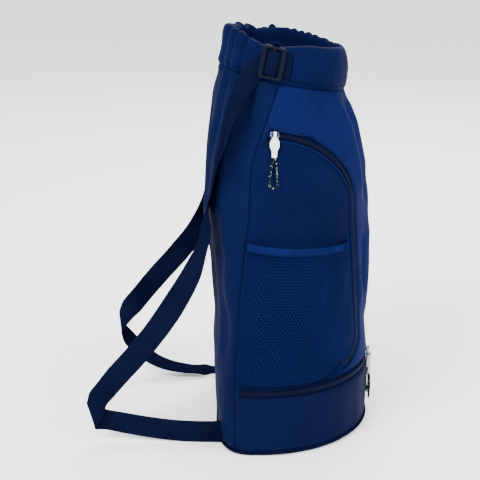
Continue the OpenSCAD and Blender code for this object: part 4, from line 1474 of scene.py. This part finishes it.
@dataclass
class MeshPocket:
    """Open-topped pocket of knitted mesh with real holes, and its elastic binding."""

    side: Side
    height: float = 157.0
    bulge: float = 14.0
    binding: float = 8.0
    pitch: float = 3.85
    row: float = 3.2
    hole: float = 0.64

    def top(self, s: Array) -> Array:
        """Level of the pocket's upper edge, s from the back seam to the front."""
        return RING + self.height + 5 * (1 - s) - 1.5 * np.sin(np.pi * s)

    def _front(self, h: Array) -> Array:
        """Angle of the pocket's front edge."""
        return table(((71, 50), (91, 40), (130.667, 35.5), (250, 41)), h)

    def place(self, s: Array, h: Array, t: Array) -> tuple[Array, Array, Array]:
        """Angle, level and distance off the skin of a point of the pocket."""
        u = self.side.value * ((seam(h) - 1.5) * (1 - s) + self._front(h) * s)
        full = np.maximum(np.sin(np.pi * s), 0) ** 0.6 * np.sin(np.pi / 2 * np.minimum(1, 3 * t)) ** 0.7
        fold = -7.0 * np.exp(-(((s - 0.74 + 0.10 * (1 - t)) / 0.05) ** 2)) * ease((t - 0.3) / 0.5)
        ridge = 3.6 * np.exp(-(((s - 0.84 + 0.10 * (1 - t)) / 0.05) ** 2)) * ease((t - 0.3) / 0.5)
        crease = -4.5 * np.exp(-(((s - 0.93 + 0.16 * (t - 0.3)) / 0.03) ** 2)) * ease((0.62 - t) / 0.2) * ease(t / 0.1)
        sag = 1.4 * np.sin(5.2 * s + 3 * t) * np.sin(np.pi * s) * ease(t * 3)
        held = np.sin(np.pi * s) ** 0.3 * (1 - 0.7 * ease((t - 0.9) / 0.1))
        return u, h, GAP + 0.3 + self.bulge * full + (fold + ridge + crease) * held + sag

    def build(self) -> None:
        """Builds the knitted mesh, the binding and its stitches."""
        self._knit()
        self._binding()

    def _knit(self) -> None:
        """Honeycomb of yarn over the pocket's shape."""
        k = np.linspace(0, 1, 80)
        width = lengths(SKIN.at(*self.place(k, np.full(80, RING + 80), np.full(80, 0.5))), 0)[-1]
        tall = lengths(SKIN.at(*self.place(np.full(80, 0.5), RING + 9 + (self.height - 17) * k, k)), 0)[-1]
        columns, rows, row_step = int(width / self.pitch), int(tall / self.row), self.row
        bm = bmesh.new()
        cache: dict[tuple[int, int], bmesh.types.BMVert] = {}

        def corner(x: float, y: float) -> bmesh.types.BMVert:
            """Shared corner of the cells, in flat cloth coordinates."""
            key = (round(x * 50), round(y * 50))
            if key not in cache:
                cache[key] = bm.verts.new((x, y, 0))
            return cache[key]

        a, b, c = self.pitch / 2, row_step * 0.84, row_step * 0.16
        for j in range(rows + 1):
            for i in range(columns + 1):
                cx = (i + (0.5 if j % 2 else 0.0)) * self.pitch
                cy = j * row_step
                ring = ((0, -b), (a, -c), (a, c), (0, b), (-a, c), (-a, -c))
                bm.faces.new([corner(cx + x, cy + y) for x, y in ring])
        faces = list(bm.faces)
        bmesh.ops.inset_individual(bm, faces=faces, thickness=self.pitch * (1 - self.hole) / 2, depth=0)
        bmesh.ops.delete(bm, geom=faces, context="FACES")
        bm.verts.ensure_lookup_table()
        flat = np.array([v.co for v in bm.verts], float)
        lo, hi = flat.min(0), flat.max(0)
        s = (flat[:, 0] - lo[0]) / (hi[0] - lo[0])
        t = (flat[:, 1] - lo[1]) / (hi[1] - lo[1])
        level = (RING + 9) + (self.top(s) - self.binding + 1.0 - RING - 9) * t
        pts = SKIN.at(*self.place(s, level, t))
        cells = [[v.index for v in f.verts] for f in bm.faces]
        bm.free()
        if self.side is Side.LEFT:
            cells = [c[::-1] for c in cells]
        obj = new_object(f"{self.side.word}_mesh_knit", pts, cells, flat[:, :2])
        dress(solidify(obj, 0.8, 0.0), Finish.MESH, "bag", "mesh", f"{self.side.word}_mesh_pocket")

    def _binding(self) -> None:
        """Folded elastic along the top, thick enough to hold the mesh edge."""
        s = np.linspace(0, 1, 120)
        top, tall = self.top(s), self.binding
        section = (
            (tall, 0.2), (tall - 0.5, 1.0), (tall * 0.6, 1.4), (tall * 0.3, 1.35), (0.5, 1.0), (0.0, 0.3), (0.3, -0.7),
            (tall * 0.5, -0.9), (tall, -0.8),
        )
        lines, off = [], []
        for drop, out in section:
            h = top - drop
            u, h, o = self.place(s, h, np.ones_like(s))
            lines.append((u, h))
            off.append(o + out + 0.12 * np.sin(s * 260))
        obj = strip(f"{self.side.word}_pocket_elastic", lines, off, 0.5)
        dress(obj, Finish.ELASTIC, "bag", "elastic_binding", f"{self.side.word}_pocket_binding")
        u, h, o = self.place(s, top - tall + 1.6, np.ones_like(s))
        row = stitches(f"{self.side.word}_elastic_stitching", SKIN.at(u, h, o + 1.35), SKIN.normal(u, h), 2.2, 3.2)
        dress(row, Finish.THREAD, "bag", "elastic_binding")


@dataclass
class ZipLine:
    """Tape, coil and edge piping of one zip, along lines at a distance from its centre."""

    name: str
    line: Callable[[Array | float], tuple[Array, Array]]
    nodes: tuple[str, str]
    coil_pitch: float = 1.45
    reach: float = 9.0
    piping: tuple[float, ...] = ()

    def build(self) -> None:
        """Builds the tape halves, the coil and the piping."""
        half, edge = 2.7, self.reach
        for word, sign in (("outer", 1), ("inner", -1)):
            rows = [self.line(sign * e) for e in (half - 1.2, half, 4.0, 6.0, edge)]
            tape = strip(f"{self.name}_{word}_tape", rows, [-1.95, -1.5, -1.7, -1.75, -1.8], 0.7)
            dress(tape, Finish.TAPE, "bag", "zip_tape", *((self.nodes[0],) if sign > 0 else ()))
        self._coil()
        for i, e in enumerate(self.piping):
            u, h = self.line(e)
            pts = SKIN.at(u, h, -0.15)
            dress(tube_mesh(f"{self.name}_piping_{i}", pts, 1.05, sides=10), Finish.FRONT, "bag", "zip_tape")

    def _coil(self) -> None:
        """Closed coil: one rounded turn after another across the centre line."""
        u, h = self.line(0.0)
        mid, up = SKIN.at(u, h, -1.0), SKIN.normal(u, h)
        s = lengths(mid)
        sides = 6
        turn = np.linspace(0, 2 * np.pi, sides, endpoint=False)
        verts: list[Array] = []
        faces: list[tuple[int, ...]] = []
        half = ((2.35, -0.35, 0.3), (1.9, 0.05, 0.62), (0.5, 0.1, 0.62))
        shape = [(-e, z, r) for e, z, r in half] + [(0.0, -0.2, 0.5)] + list(half[::-1])
        for i in range(int(s[-1] / self.coil_pitch)):
            at = (i + 0.5) * self.coil_pitch
            p, n = along_line(at, s, mid), along_line(at, s, up)
            ahead = unit(along_line(at + 0.5, s, mid) - p)
            across = np.cross(n, ahead)
            base = len(verts)
            for e, z, r in shape:
                lean = 0.35 * (e / 2.35)
                for a in turn:
                    verts.append(p + across * e + ahead * (lean + math.cos(a) * r) + n * (z + math.sin(a) * r))
            faces += tube_faces(len(shape), sides, base)
        obj = new_object(f"{self.name}_coil", np.array(verts), faces)
        dress(obj, Finish.COIL, "bag", "zip_tape", self.nodes[1])


@dataclass
class ZipPull:
    """Slider, moulded pull and cord loop of one zip."""

    name: str
    frame: Matrix
    lean: float
    slider_body: str
    pull_body: str
    nodes: tuple[str, str, str]
    rise: float = 4.4
    length: float = 24.0
    cord: float = 2.0

    def build(self) -> None:
        """Builds the slider on its body, and the pull and cord on theirs."""
        self._slider()
        pin = self.frame @ Matrix.Translation((0, 0, self.rise * MM))
        hang = pin @ Matrix.Rotation(math.radians(self.lean), 4, "X")
        self._pull(hang)
        self._cord(hang)

    def _slider(self) -> None:
        """Domed slider with its bail and bottom plate."""
        hoop = [(-3.5, 0, 1.2), (-3.6, 0, 3.0), (-2.9, 0, 4.2), (-1.5, 0, 4.4)]
        hoop += [(-x, y, z) for x, y, z in hoop[::-1]]
        parts = [
            self._loft([(0.15, 0.86), (0.45, 0.97), (1.0, 1.0), (1.5, 0.95), (1.95, 0.78), (2.25, 0.5), (2.35, 0.2)]),
            self._loft([(-4.4, 0.7), (-4.2, 0.8), (-3.3, 0.8), (-3.1, 0.72)]),
            tube_mesh("post", np.array([[-1.2, 0, -3.2], [-1.2, 0, -1.0], [-1.2, 0, 0.4]]), 0.55),
            tube_mesh("bail", smooth_line(np.array(hoop), 0.5)[0], 0.66, sides=10),
        ]
        obj = join(f"{self.name}_slider_body", parts)
        obj.matrix_world = self.frame
        dress(obj, Finish.SLIDER, self.slider_body, "slider_metal", self.nodes[0])

    def _loft(self, rings: Sequence[tuple[float, float]]) -> bpy.types.Object:
        """Slider plate: rings of level and size of a rounded, waisted outline."""
        a = np.linspace(0, 2 * np.pi, 36, endpoint=False)
        c, s = np.cos(a), np.sin(a)
        x = 5.0 * np.sign(c) * np.abs(c) ** 0.55
        y = 4.0 * np.sign(s) * np.abs(s) ** 0.6 * (1 - 0.22 * ((x - 1.0) / 5) ** 2 * (x > 1.0))
        pts = np.stack([np.stack([x * k, y * k, np.full_like(x, z)], -1) for z, k in rings])
        return new_object("plate", pts, tube_faces(len(rings), len(a)))

    def _pull(self, place: Matrix) -> None:
        """Flat moulded pull with a six-sided head and a ring on the slider's bail."""
        outline = [
            (-2.0, -3.4), (2.0, -3.4), (4.75, -8.5), (4.75, -13.0), (2.7, -17.8), (2.6, -self.length),
            (-2.6, -self.length), (-2.7, -17.8), (-4.75, -13.0), (-4.75, -8.5),
        ]
        bm = bmesh.new()
        face = bm.faces.new([bm.verts.new((x * MM, y * MM, -1.5 * MM)) for x, y in outline])
        made = bmesh.ops.extrude_face_region(bm, geom=[face])
        raised = [g for g in made["geom"] if isinstance(g, bmesh.types.BMVert)]
        bmesh.ops.translate(bm, verts=raised, vec=(0, 0, 3 * MM))
        bmesh.ops.recalc_face_normals(bm, faces=bm.faces)
        bmesh.ops.bevel(bm, geom=list(bm.edges), offset=0.65 * MM, segments=3, affect="EDGES", profile=0.6)
        for side in (-1, 1):
            flats = [f for f in bm.faces if f.normal.z * side > 0.99 and len(f.verts) > 4]
            bmesh.ops.inset_region(bm, faces=flats, thickness=0.9 * MM, depth=0)
            bmesh.ops.inset_region(bm, faces=flats, thickness=0.25 * MM, depth=-0.3 * MM)
        mesh = bpy.data.meshes.new("pull")
        bm.to_mesh(mesh)
        bm.free()
        plate = link("pull", mesh)
        a = np.linspace(0, 2 * np.pi, 22, endpoint=False)
        turn = np.stack([0 * a, 1.62 * np.cos(a) - 0.1, 1.62 * np.sin(a)], -1)
        ring = tube_mesh("eye", turn, 0.8, sides=10, closed=True)
        ring.data.transform(Matrix.Diagonal((1.9, 1, 1, 1)))
        neck_line = np.array([[0, y, 0] for y in (-1.9, -3.0, -4.4)])
        neck = tube_mesh("neck", neck_line, np.array([1.7, 1.7, 1.9]), sides=12, squash=0.75)
        foot_line = np.array([[0, -self.length + y, 0] for y in (2.6, 0.6, -0.5)])
        foot = tube_mesh("foot", foot_line, np.array([2.5, 2.5, 2.2]), sides=14, squash=0.75)
        obj = join(f"{self.name}_pull_body", [plate, ring, neck, foot])
        mark = obj.modifiers.new("corners", "EDGE_SPLIT")
        mark.split_angle = math.radians(48)
        obj.matrix_world = place
        dress(obj, Finish.PULL, self.pull_body, "pull_plastic", self.nodes[1])

    def _cord(self, place: Matrix) -> None:
        """Loop of cord moulded into the pull's foot at both ends."""
        half = [
            (-1.3, -0.3, 0), (-1.5, -3, 0.2), (-2.2, -8, 0.5), (-3.1, -14, 0.7), (-3.7, -20, 0.5), (-4, -25, 0.2),
            (-3.5, -28.2, 0), (-2, -30.4, 0),
        ]
        route = half + [(0, -31, 0)] + [(-x, y, -z) for x, y, z in reversed(half)]
        local = smooth_line(np.array(route) + np.array([0, -self.length, 0]), 0.9)[0]
        world = np.array([place @ Vector(p * MM) for p in local])
        radius = self.cord / 2 * (1 + 0.04 * np.sin(np.linspace(0, 1, len(world)) * 160))
        obj = tube_mesh(f"{self.name}_cord_loop", world / MM, radius, sides=12)
        dress(obj, Finish.CORD, self.pull_body, "pull_cord", self.nodes[2])
        declare_cord(world)


@dataclass
class Buckle:
    """Tri-glide buckle on the collar and the webbing over its middle bar."""

    side: Side
    angle: float = 102.5
    length: float = 24.0
    tall: float = 34.0
    low: float = 2.5

    def frame(self) -> Matrix:
        """Place of the buckle: X along the webbing towards the front, Z outwards."""
        u, h = np.array(self.side.value * self.angle), np.array(WEB_LEVEL)
        n = SKIN.normal(u, h)
        ahead = unit(SKIN.along_u(u, h)) * -self.side.value
        return frame_matrix(SKIN.at(u, h), unit(ahead - n * (ahead @ n)), n)

    def _rim(self, z: float) -> bpy.types.Object:
        """Flat frame with wide sides and narrow ends, rounded all over."""
        x, y = self.length / 2, self.tall / 2
        section = (
            (0, -0.7), (0, 0.7), (0.16, 1.3), (0.5, 1.5), (0.84, 1.2), (1, 0.5), (1, -0.6), (0.84, -1.3), (0.16, -1.3),
        )
        rings = []
        for share, rise in section:
            ring = []
            for cx, cy, start in ((1, 1, 0), (-1, 1, 90), (-1, -1, 180), (1, -1, 270)):
                for k in range(7):
                    a = math.radians(start + 15 * k)
                    wide, high = x - 4.6 * (1 - share), y - 3.2 * (1 - share)
                    r = 1.2 + 2.4 * share
                    ring.append((cx * (wide - r) + r * math.cos(a), cy * (high - r) + r * math.sin(a), z + rise))
            rings.append(ring)
        n = len(rings[0])
        faces = grid_faces(len(rings) + 1, n, closed=True)
        last = (len(rings) - 1) * n
        faces = [tuple(i - last - n if i >= last + n else i for i in f) for f in faces]
        return new_object("rim", np.array(rings), [f[::-1] for f in faces])

    def build(self) -> None:
        """Builds the frame with its bars, and the wrap of webbing."""
        word, body = self.side.word, f"{self.side.word}_buckle"
        place = self.frame()
        z = self.low + 1.4
        y = self.tall / 2 - 1.9
        rim = self._rim(z)
        across = np.array([[0, v, z] for v in (-y, -y + 3, 0, y - 3, y)])
        bar = tube_mesh("bar", across, np.array([2.1, 2.0, 2.0, 2.0, 2.1]), sides=14)
        middle = Matrix.Translation((0, 0, z * MM))
        bar.data.transform(middle @ Matrix.Diagonal((1, 1, 0.6, 1)) @ middle.inverted())
        obj = join(f"{word}_triglide", [rim, bar])
        obj.matrix_world = place
        dress(obj, Finish.BUCKLE, body, "buckle_plastic", f"{word}_buckle")
        top = self.low + 2.8
        rise = [(9.6, self.low - 0.1), (7.4, self.low + 0.3), (5.4, self.low + 1.2), (3.6, top + 0.5)]
        rise.append((2.0, top + 0.95))
        arch = [(-x, h) for x, h in rise] + [(0, top + 1.05)] + rise[::-1]
        rings = np.array([(x, 0, h, 0, 1, 0, WEBBING) for x, h in arch], float)
        wrap = Ribbon(f"{word}_webbing_wrap", rings, step=0.8).build()
        wrap.matrix_world = place
        dress(wrap, Finish.WEBBING, body, "webbing", f"{word}_buckle_wrap")


# side view x and z, turn of the width from level, tilt of the rear edge towards the bag
TOP_STRETCH = (
    (-25, 411, 90, 0), (-32, 408.5, 84, 0), (-39, 403, 68, 0), (-46, 394, 50, 0), (-52, 382, 36, 4), (-58, 368, 24, 10),
    (-65, 351, 14, 18), (-71, 328, 9, 24), (-77, 307, 6, 28), (-81, 286, 5, 28), (-85, 265, 4, 26),
)
END = (-91.5, 92.0, 245.0)
LEFT_ROUTE = (
    (-91.9, -92, 243.8, 0.42, -0.905, -0.05, 25), (-97, -92, 220, 0.42, -0.88, -0.2, 25),
    (-104.5, -92, 200, 0.6, -0.7, -0.4, 25),
    (-122, -91, 167, 0.76, -0.4, -0.5, 25), (-143, -90, 134, 0.79, 0, -0.61, 25),
    (-168.6, -90, 101, 0.77, 0, -0.64, 25),
    (-190, -90, 76.5, 0.746, 0, -0.666, 25), (-202, -90.2, 61.5, 0.77, 0, -0.64, 24),
    (-209.7, -90.4, 51.7, 0.77, 0, -0.64, 23.5),
    (-213.5, -90.2, 40.5, 0.62, 0, -0.785, 25), (-217.2, -88, 29.2, 0.21, 0, -0.977, 30),
    (-213.7, -85, 27, 0.09, 0, -0.995, 28),
    (-205, -84, 24.8, 0, 0, -1, 25), (-184, -85.5, 21.3, 0, 0, -1, 25), (-156, -87.5, 17, 0, 0, -1, 25),
    (-124, -89, 13.6, 0, 0, -1, 25), (-100, -90, 12.9, 0, 0, -1, 25), (-83.6, -90, 12.9, 0, 0, -1, 25),
)
RIGHT_ROUTE = (
    (-91.9, 92, 243.8, 0.42, 0.905, -0.05, 25), (-97, 92, 220, 0.6, 0.75, -0.25, 25),
    (-108, 91, 191, 0.78, 0.3, -0.5, 25),
    (-128, 89, 164, 0.82, 0, -0.57, 25), (-156, 89, 132, 0.8, 0, -0.6, 25), (-184, 89, 98, 0.74, 0, -0.67, 25),
    (-195.6, 89.5, 83.6, 0.57, -0.6, -0.5, 24), (-202.7, 91, 69.5, 0.2, -0.68, -0.7, 24),
    (-200, 93, 57.5, 0, -0.8, -0.6, 24),
    (-192.5, 93.5, 47, -0.26, -0.88, -0.4, 24), (-177, 93, 31, -0.2, -0.93, -0.3, 25),
    (-158, 93, 17.5, -0.12, -0.97, -0.2, 25),
    (-128, 92, 9, -0.05, -1, -0.1, 25), (-106, 91, 7.4, 0, -1, -0.25, 20),
    (-92, 90, 7.4, 0, -0.3, -1, 10), (-83.6, 90, 7.4, 0, 0, -1, 10),
)


@dataclass
class Strap:
    """One shoulder strap: from the buckle down the back, free to the floor and back to its tab."""

    side: Side
    route: tuple[tuple[float, ...], ...]
    lie: float = 2.0
    tab_level: float = 12.9
    tab_tall: float = 25.0

    def rings(self) -> Array:
        """Rings of the whole strap."""
        k = self.side.value
        rows = []
        spread = np.linspace(-6, 6, 5)
        for x, z, turn, tilt in TOP_STRETCH:
            a, h = SKIN.side_at(np.array(float(x)), np.array(float(z)), self.side)
            lift = max(0.0, float(CLOTH_SURFACE.lift(a + spread, np.full(5, float(h))).max())) if z < 400 else 0.0
            lean = math.radians(tilt)
            p = SKIN.at(a, h, np.array(self.lie + lift * (1 - ease((320 - z) / 40)) + 7 * math.sin(lean)))
            level, steep = math.cos(math.radians(turn)), math.sin(math.radians(turn))
            wide = unit(SKIN.along_u(a, h)) * k * level + unit(SKIN.along_h(a, h)) * steep
            wide = wide * math.cos(lean) - SKIN.normal(a, h) * math.sin(lean)
            rows.append((*p, *wide, WEBBING))
        rows.append((END[0], k * END[1], END[2], -0.42, -k * 0.905, 0.05, WEBBING))
        return np.array(rows + list(self.route[1:]), float)

    def build(self) -> None:
        """Builds the strap as one band that bends at the joint, and its tab."""
        word = self.side.word
        ribbon = Ribbon(f"{word}_strap_webbing", self.rings())
        obj = ribbon.build()
        path = ribbon.centre()[:, :3] * MM
        loop = f"{word}_strap_loop"
        x, y, z = (c * MM for c in END)
        y *= self.side.value
        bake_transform(obj, "bag", loop, start=(x + 2 * MM, y, z + 16 * MM), end=(x - 2 * MM, y, z - 14 * MM))
        dress(obj, Finish.WEBBING, loop, "webbing", f"{word}_shoulder_strap", loop)
        declare_cord(path)
        self._tab()

    def _tab(self) -> None:
        """Doubled webbing that comes out of the base seam."""
        word, k = self.side.word, self.side.value
        rows = [(x, k * 90.0, self.tab_level, 0, 0, 1, self.tab_tall) for x in (-84.8, -81.5, -79.0, -76.0)]
        obj = Ribbon(f"{word}_tab_webbing", np.array(rows), thick=3.0, step=1.0).build()
        dress(obj, Finish.WEBBING, "bag", "webbing", f"{word}_strap_tab")


@dataclass
class Studio:
    """Camera, floor and soft lights."""

    place: tuple[float, float, float] = (-0.057, -1.195, 0.566)
    floor_reach: float = 14.0
    sky: float = 2.0
    tilt: float = 73.1
    lens: float = 84.1
    lights: tuple[tuple[str, tuple[float, float, float], float, float], ...] = field(
        default=(
            ("key", (-1.1, -1.3, 1.7), 85.0, 1.1),
            ("fill", (1.5, -0.9, 0.8), 34.0, 1.2),
            ("back", (0.3, 1.4, 1.6), 40.0, 1.2),
        )
    )

    def camera(self) -> None:
        """Camera at eye level, looking slightly down."""
        data = bpy.data.cameras.new("camera")
        data.lens, data.sensor_width = self.lens, 36.0
        data.clip_start, data.clip_end = 0.02, 60.0
        obj = link("camera", data)
        obj.location = self.place
        obj.rotation_euler = (math.radians(self.tilt), 0, 0)
        bpy.context.scene.camera = obj

    def build(self) -> None:
        """Floor, soft lights and an even pale surround."""
        size = self.floor_reach
        corners = np.array([[-size, -size, 0], [size, -size, 0], [size, size, 0], [-size, size, 0]])
        floor = new_object("floor", corners / MM, [(0, 1, 2, 3)])
        floor.location.z = -0.0002
        material, g = blank("floor_paper")
        grain = g.add("TexNoise", {"Vector": g.add("TexCoord").outputs["Object"], "Scale": 220.0, "Detail": 3.0})
        tone = g.mix(g.remap(grain.outputs["Fac"], 0.3, 0.7), srgb(246, 246, 246), srgb(250, 250, 250))
        finish_with(g, tone, grain.outputs["Fac"], 0.05, 0.0002, Roughness=0.9, Specular_IOR_Level=0.1)
        floor.data.materials.append(material)
        for name, where, power, width in self.lights:
            data = bpy.data.lights.new(name, "AREA")
            data.energy, data.size, data.shape = power, width, "DISK"
            lamp = link(name, data)
            lamp.location = where
            aim = Vector((-0.02, 0, 0.22)) - Vector(where)
            lamp.rotation_euler = aim.to_track_quat("-Z", "Y").to_euler()
        world = bpy.data.worlds.new("studio")
        bpy.context.scene.world = world
        world.use_nodes = True
        sky = world.node_tree.nodes["Background"]
        sky.inputs["Color"].default_value = (1, 1, 1, 1)
        sky.inputs["Strength"].default_value = self.sky


# rest place of the side slider on its track, lean of its pull, angle of each shoe slider
SIDE_REST = 0.045
SIDE_LEAN = 5.0
RING_REST = 4.2


def track_frame(t: float) -> Matrix:
    """Place of a slider on the side zip."""
    spots = np.array([t, max(t - 0.02, 0), t + 0.02])
    u, h = TRACK.at(spots)
    p = SKIN.point(u, h)
    n = SKIN.normal(u[:1], h[:1])[0]
    ahead = unit(p[2] - p[1])
    return frame_matrix(p[0], unit(ahead - n * (ahead @ n)), n)


def ring_frame(u: float) -> Matrix:
    """Place of a slider on the shoe zip."""
    a = math.radians(u)
    p = SKIN.point(np.array(u), np.array(RING))
    return frame_matrix(p, np.array([-math.sin(a), math.cos(a), 0]), np.array([math.cos(a), math.sin(a), 0]))


def ring_line(e: Array | float) -> tuple[Array, Array]:
    """Line round the shoe zip at e above its centre."""
    u = np.linspace(-106, 106, 260)
    return u, np.full_like(u, RING + float(e))


def side_line(e: Array | float) -> tuple[Array, Array]:
    """Line along the side zip at e outside its centre."""
    return TRACK.side(np.linspace(0, 3, 240), e)


FRAME: dict = {}


def main() -> None:
    """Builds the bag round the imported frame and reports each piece."""
    logging.basicConfig(level=logging.INFO, format="%(message)s")
    FRAME.update(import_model())
    Studio().camera()
    BodyPanels().build()
    Collar().build()
    for side in Side:
        MeshPocket(side).build()
        Buckle(side).build()
    ZipLine("side_zip", side_line, ("side_zip_tape", "side_zip_chain"), piping=(-REVEAL - 0.4,)).build()
    ZipLine("shoe_zip", ring_line, ("shoe_zip_tape", "shoe_zip_chain"), reach=6.7).build()
    for node in ("side_zip_stops", "shoe_zip_stops"):
        Finish.COIL.on(bevel(FRAME["nodes"][node], 0.3))
    nodes = ("side_zip_slider", "side_zip_pull", "side_zip_cord")
    ZipPull("side", track_frame(SIDE_REST), SIDE_LEAN, "side_slider", "side_pull", nodes).build()
    for side in Side:
        nodes = tuple(f"{side.word}_shoe_{part}" for part in ("slider", "pull", "cord"))
        ZipPull(f"{side.word}_shoe", ring_frame(side.value * RING_REST), 0.0, nodes[0], nodes[1], nodes).build()
    Strap(Side.LEFT, LEFT_ROUTE).build()
    Strap(Side.RIGHT, RIGHT_ROUTE, tab_level=7.4, tab_tall=10.0).build()
    Studio().build()


if __name__ == "__main__":
    main()
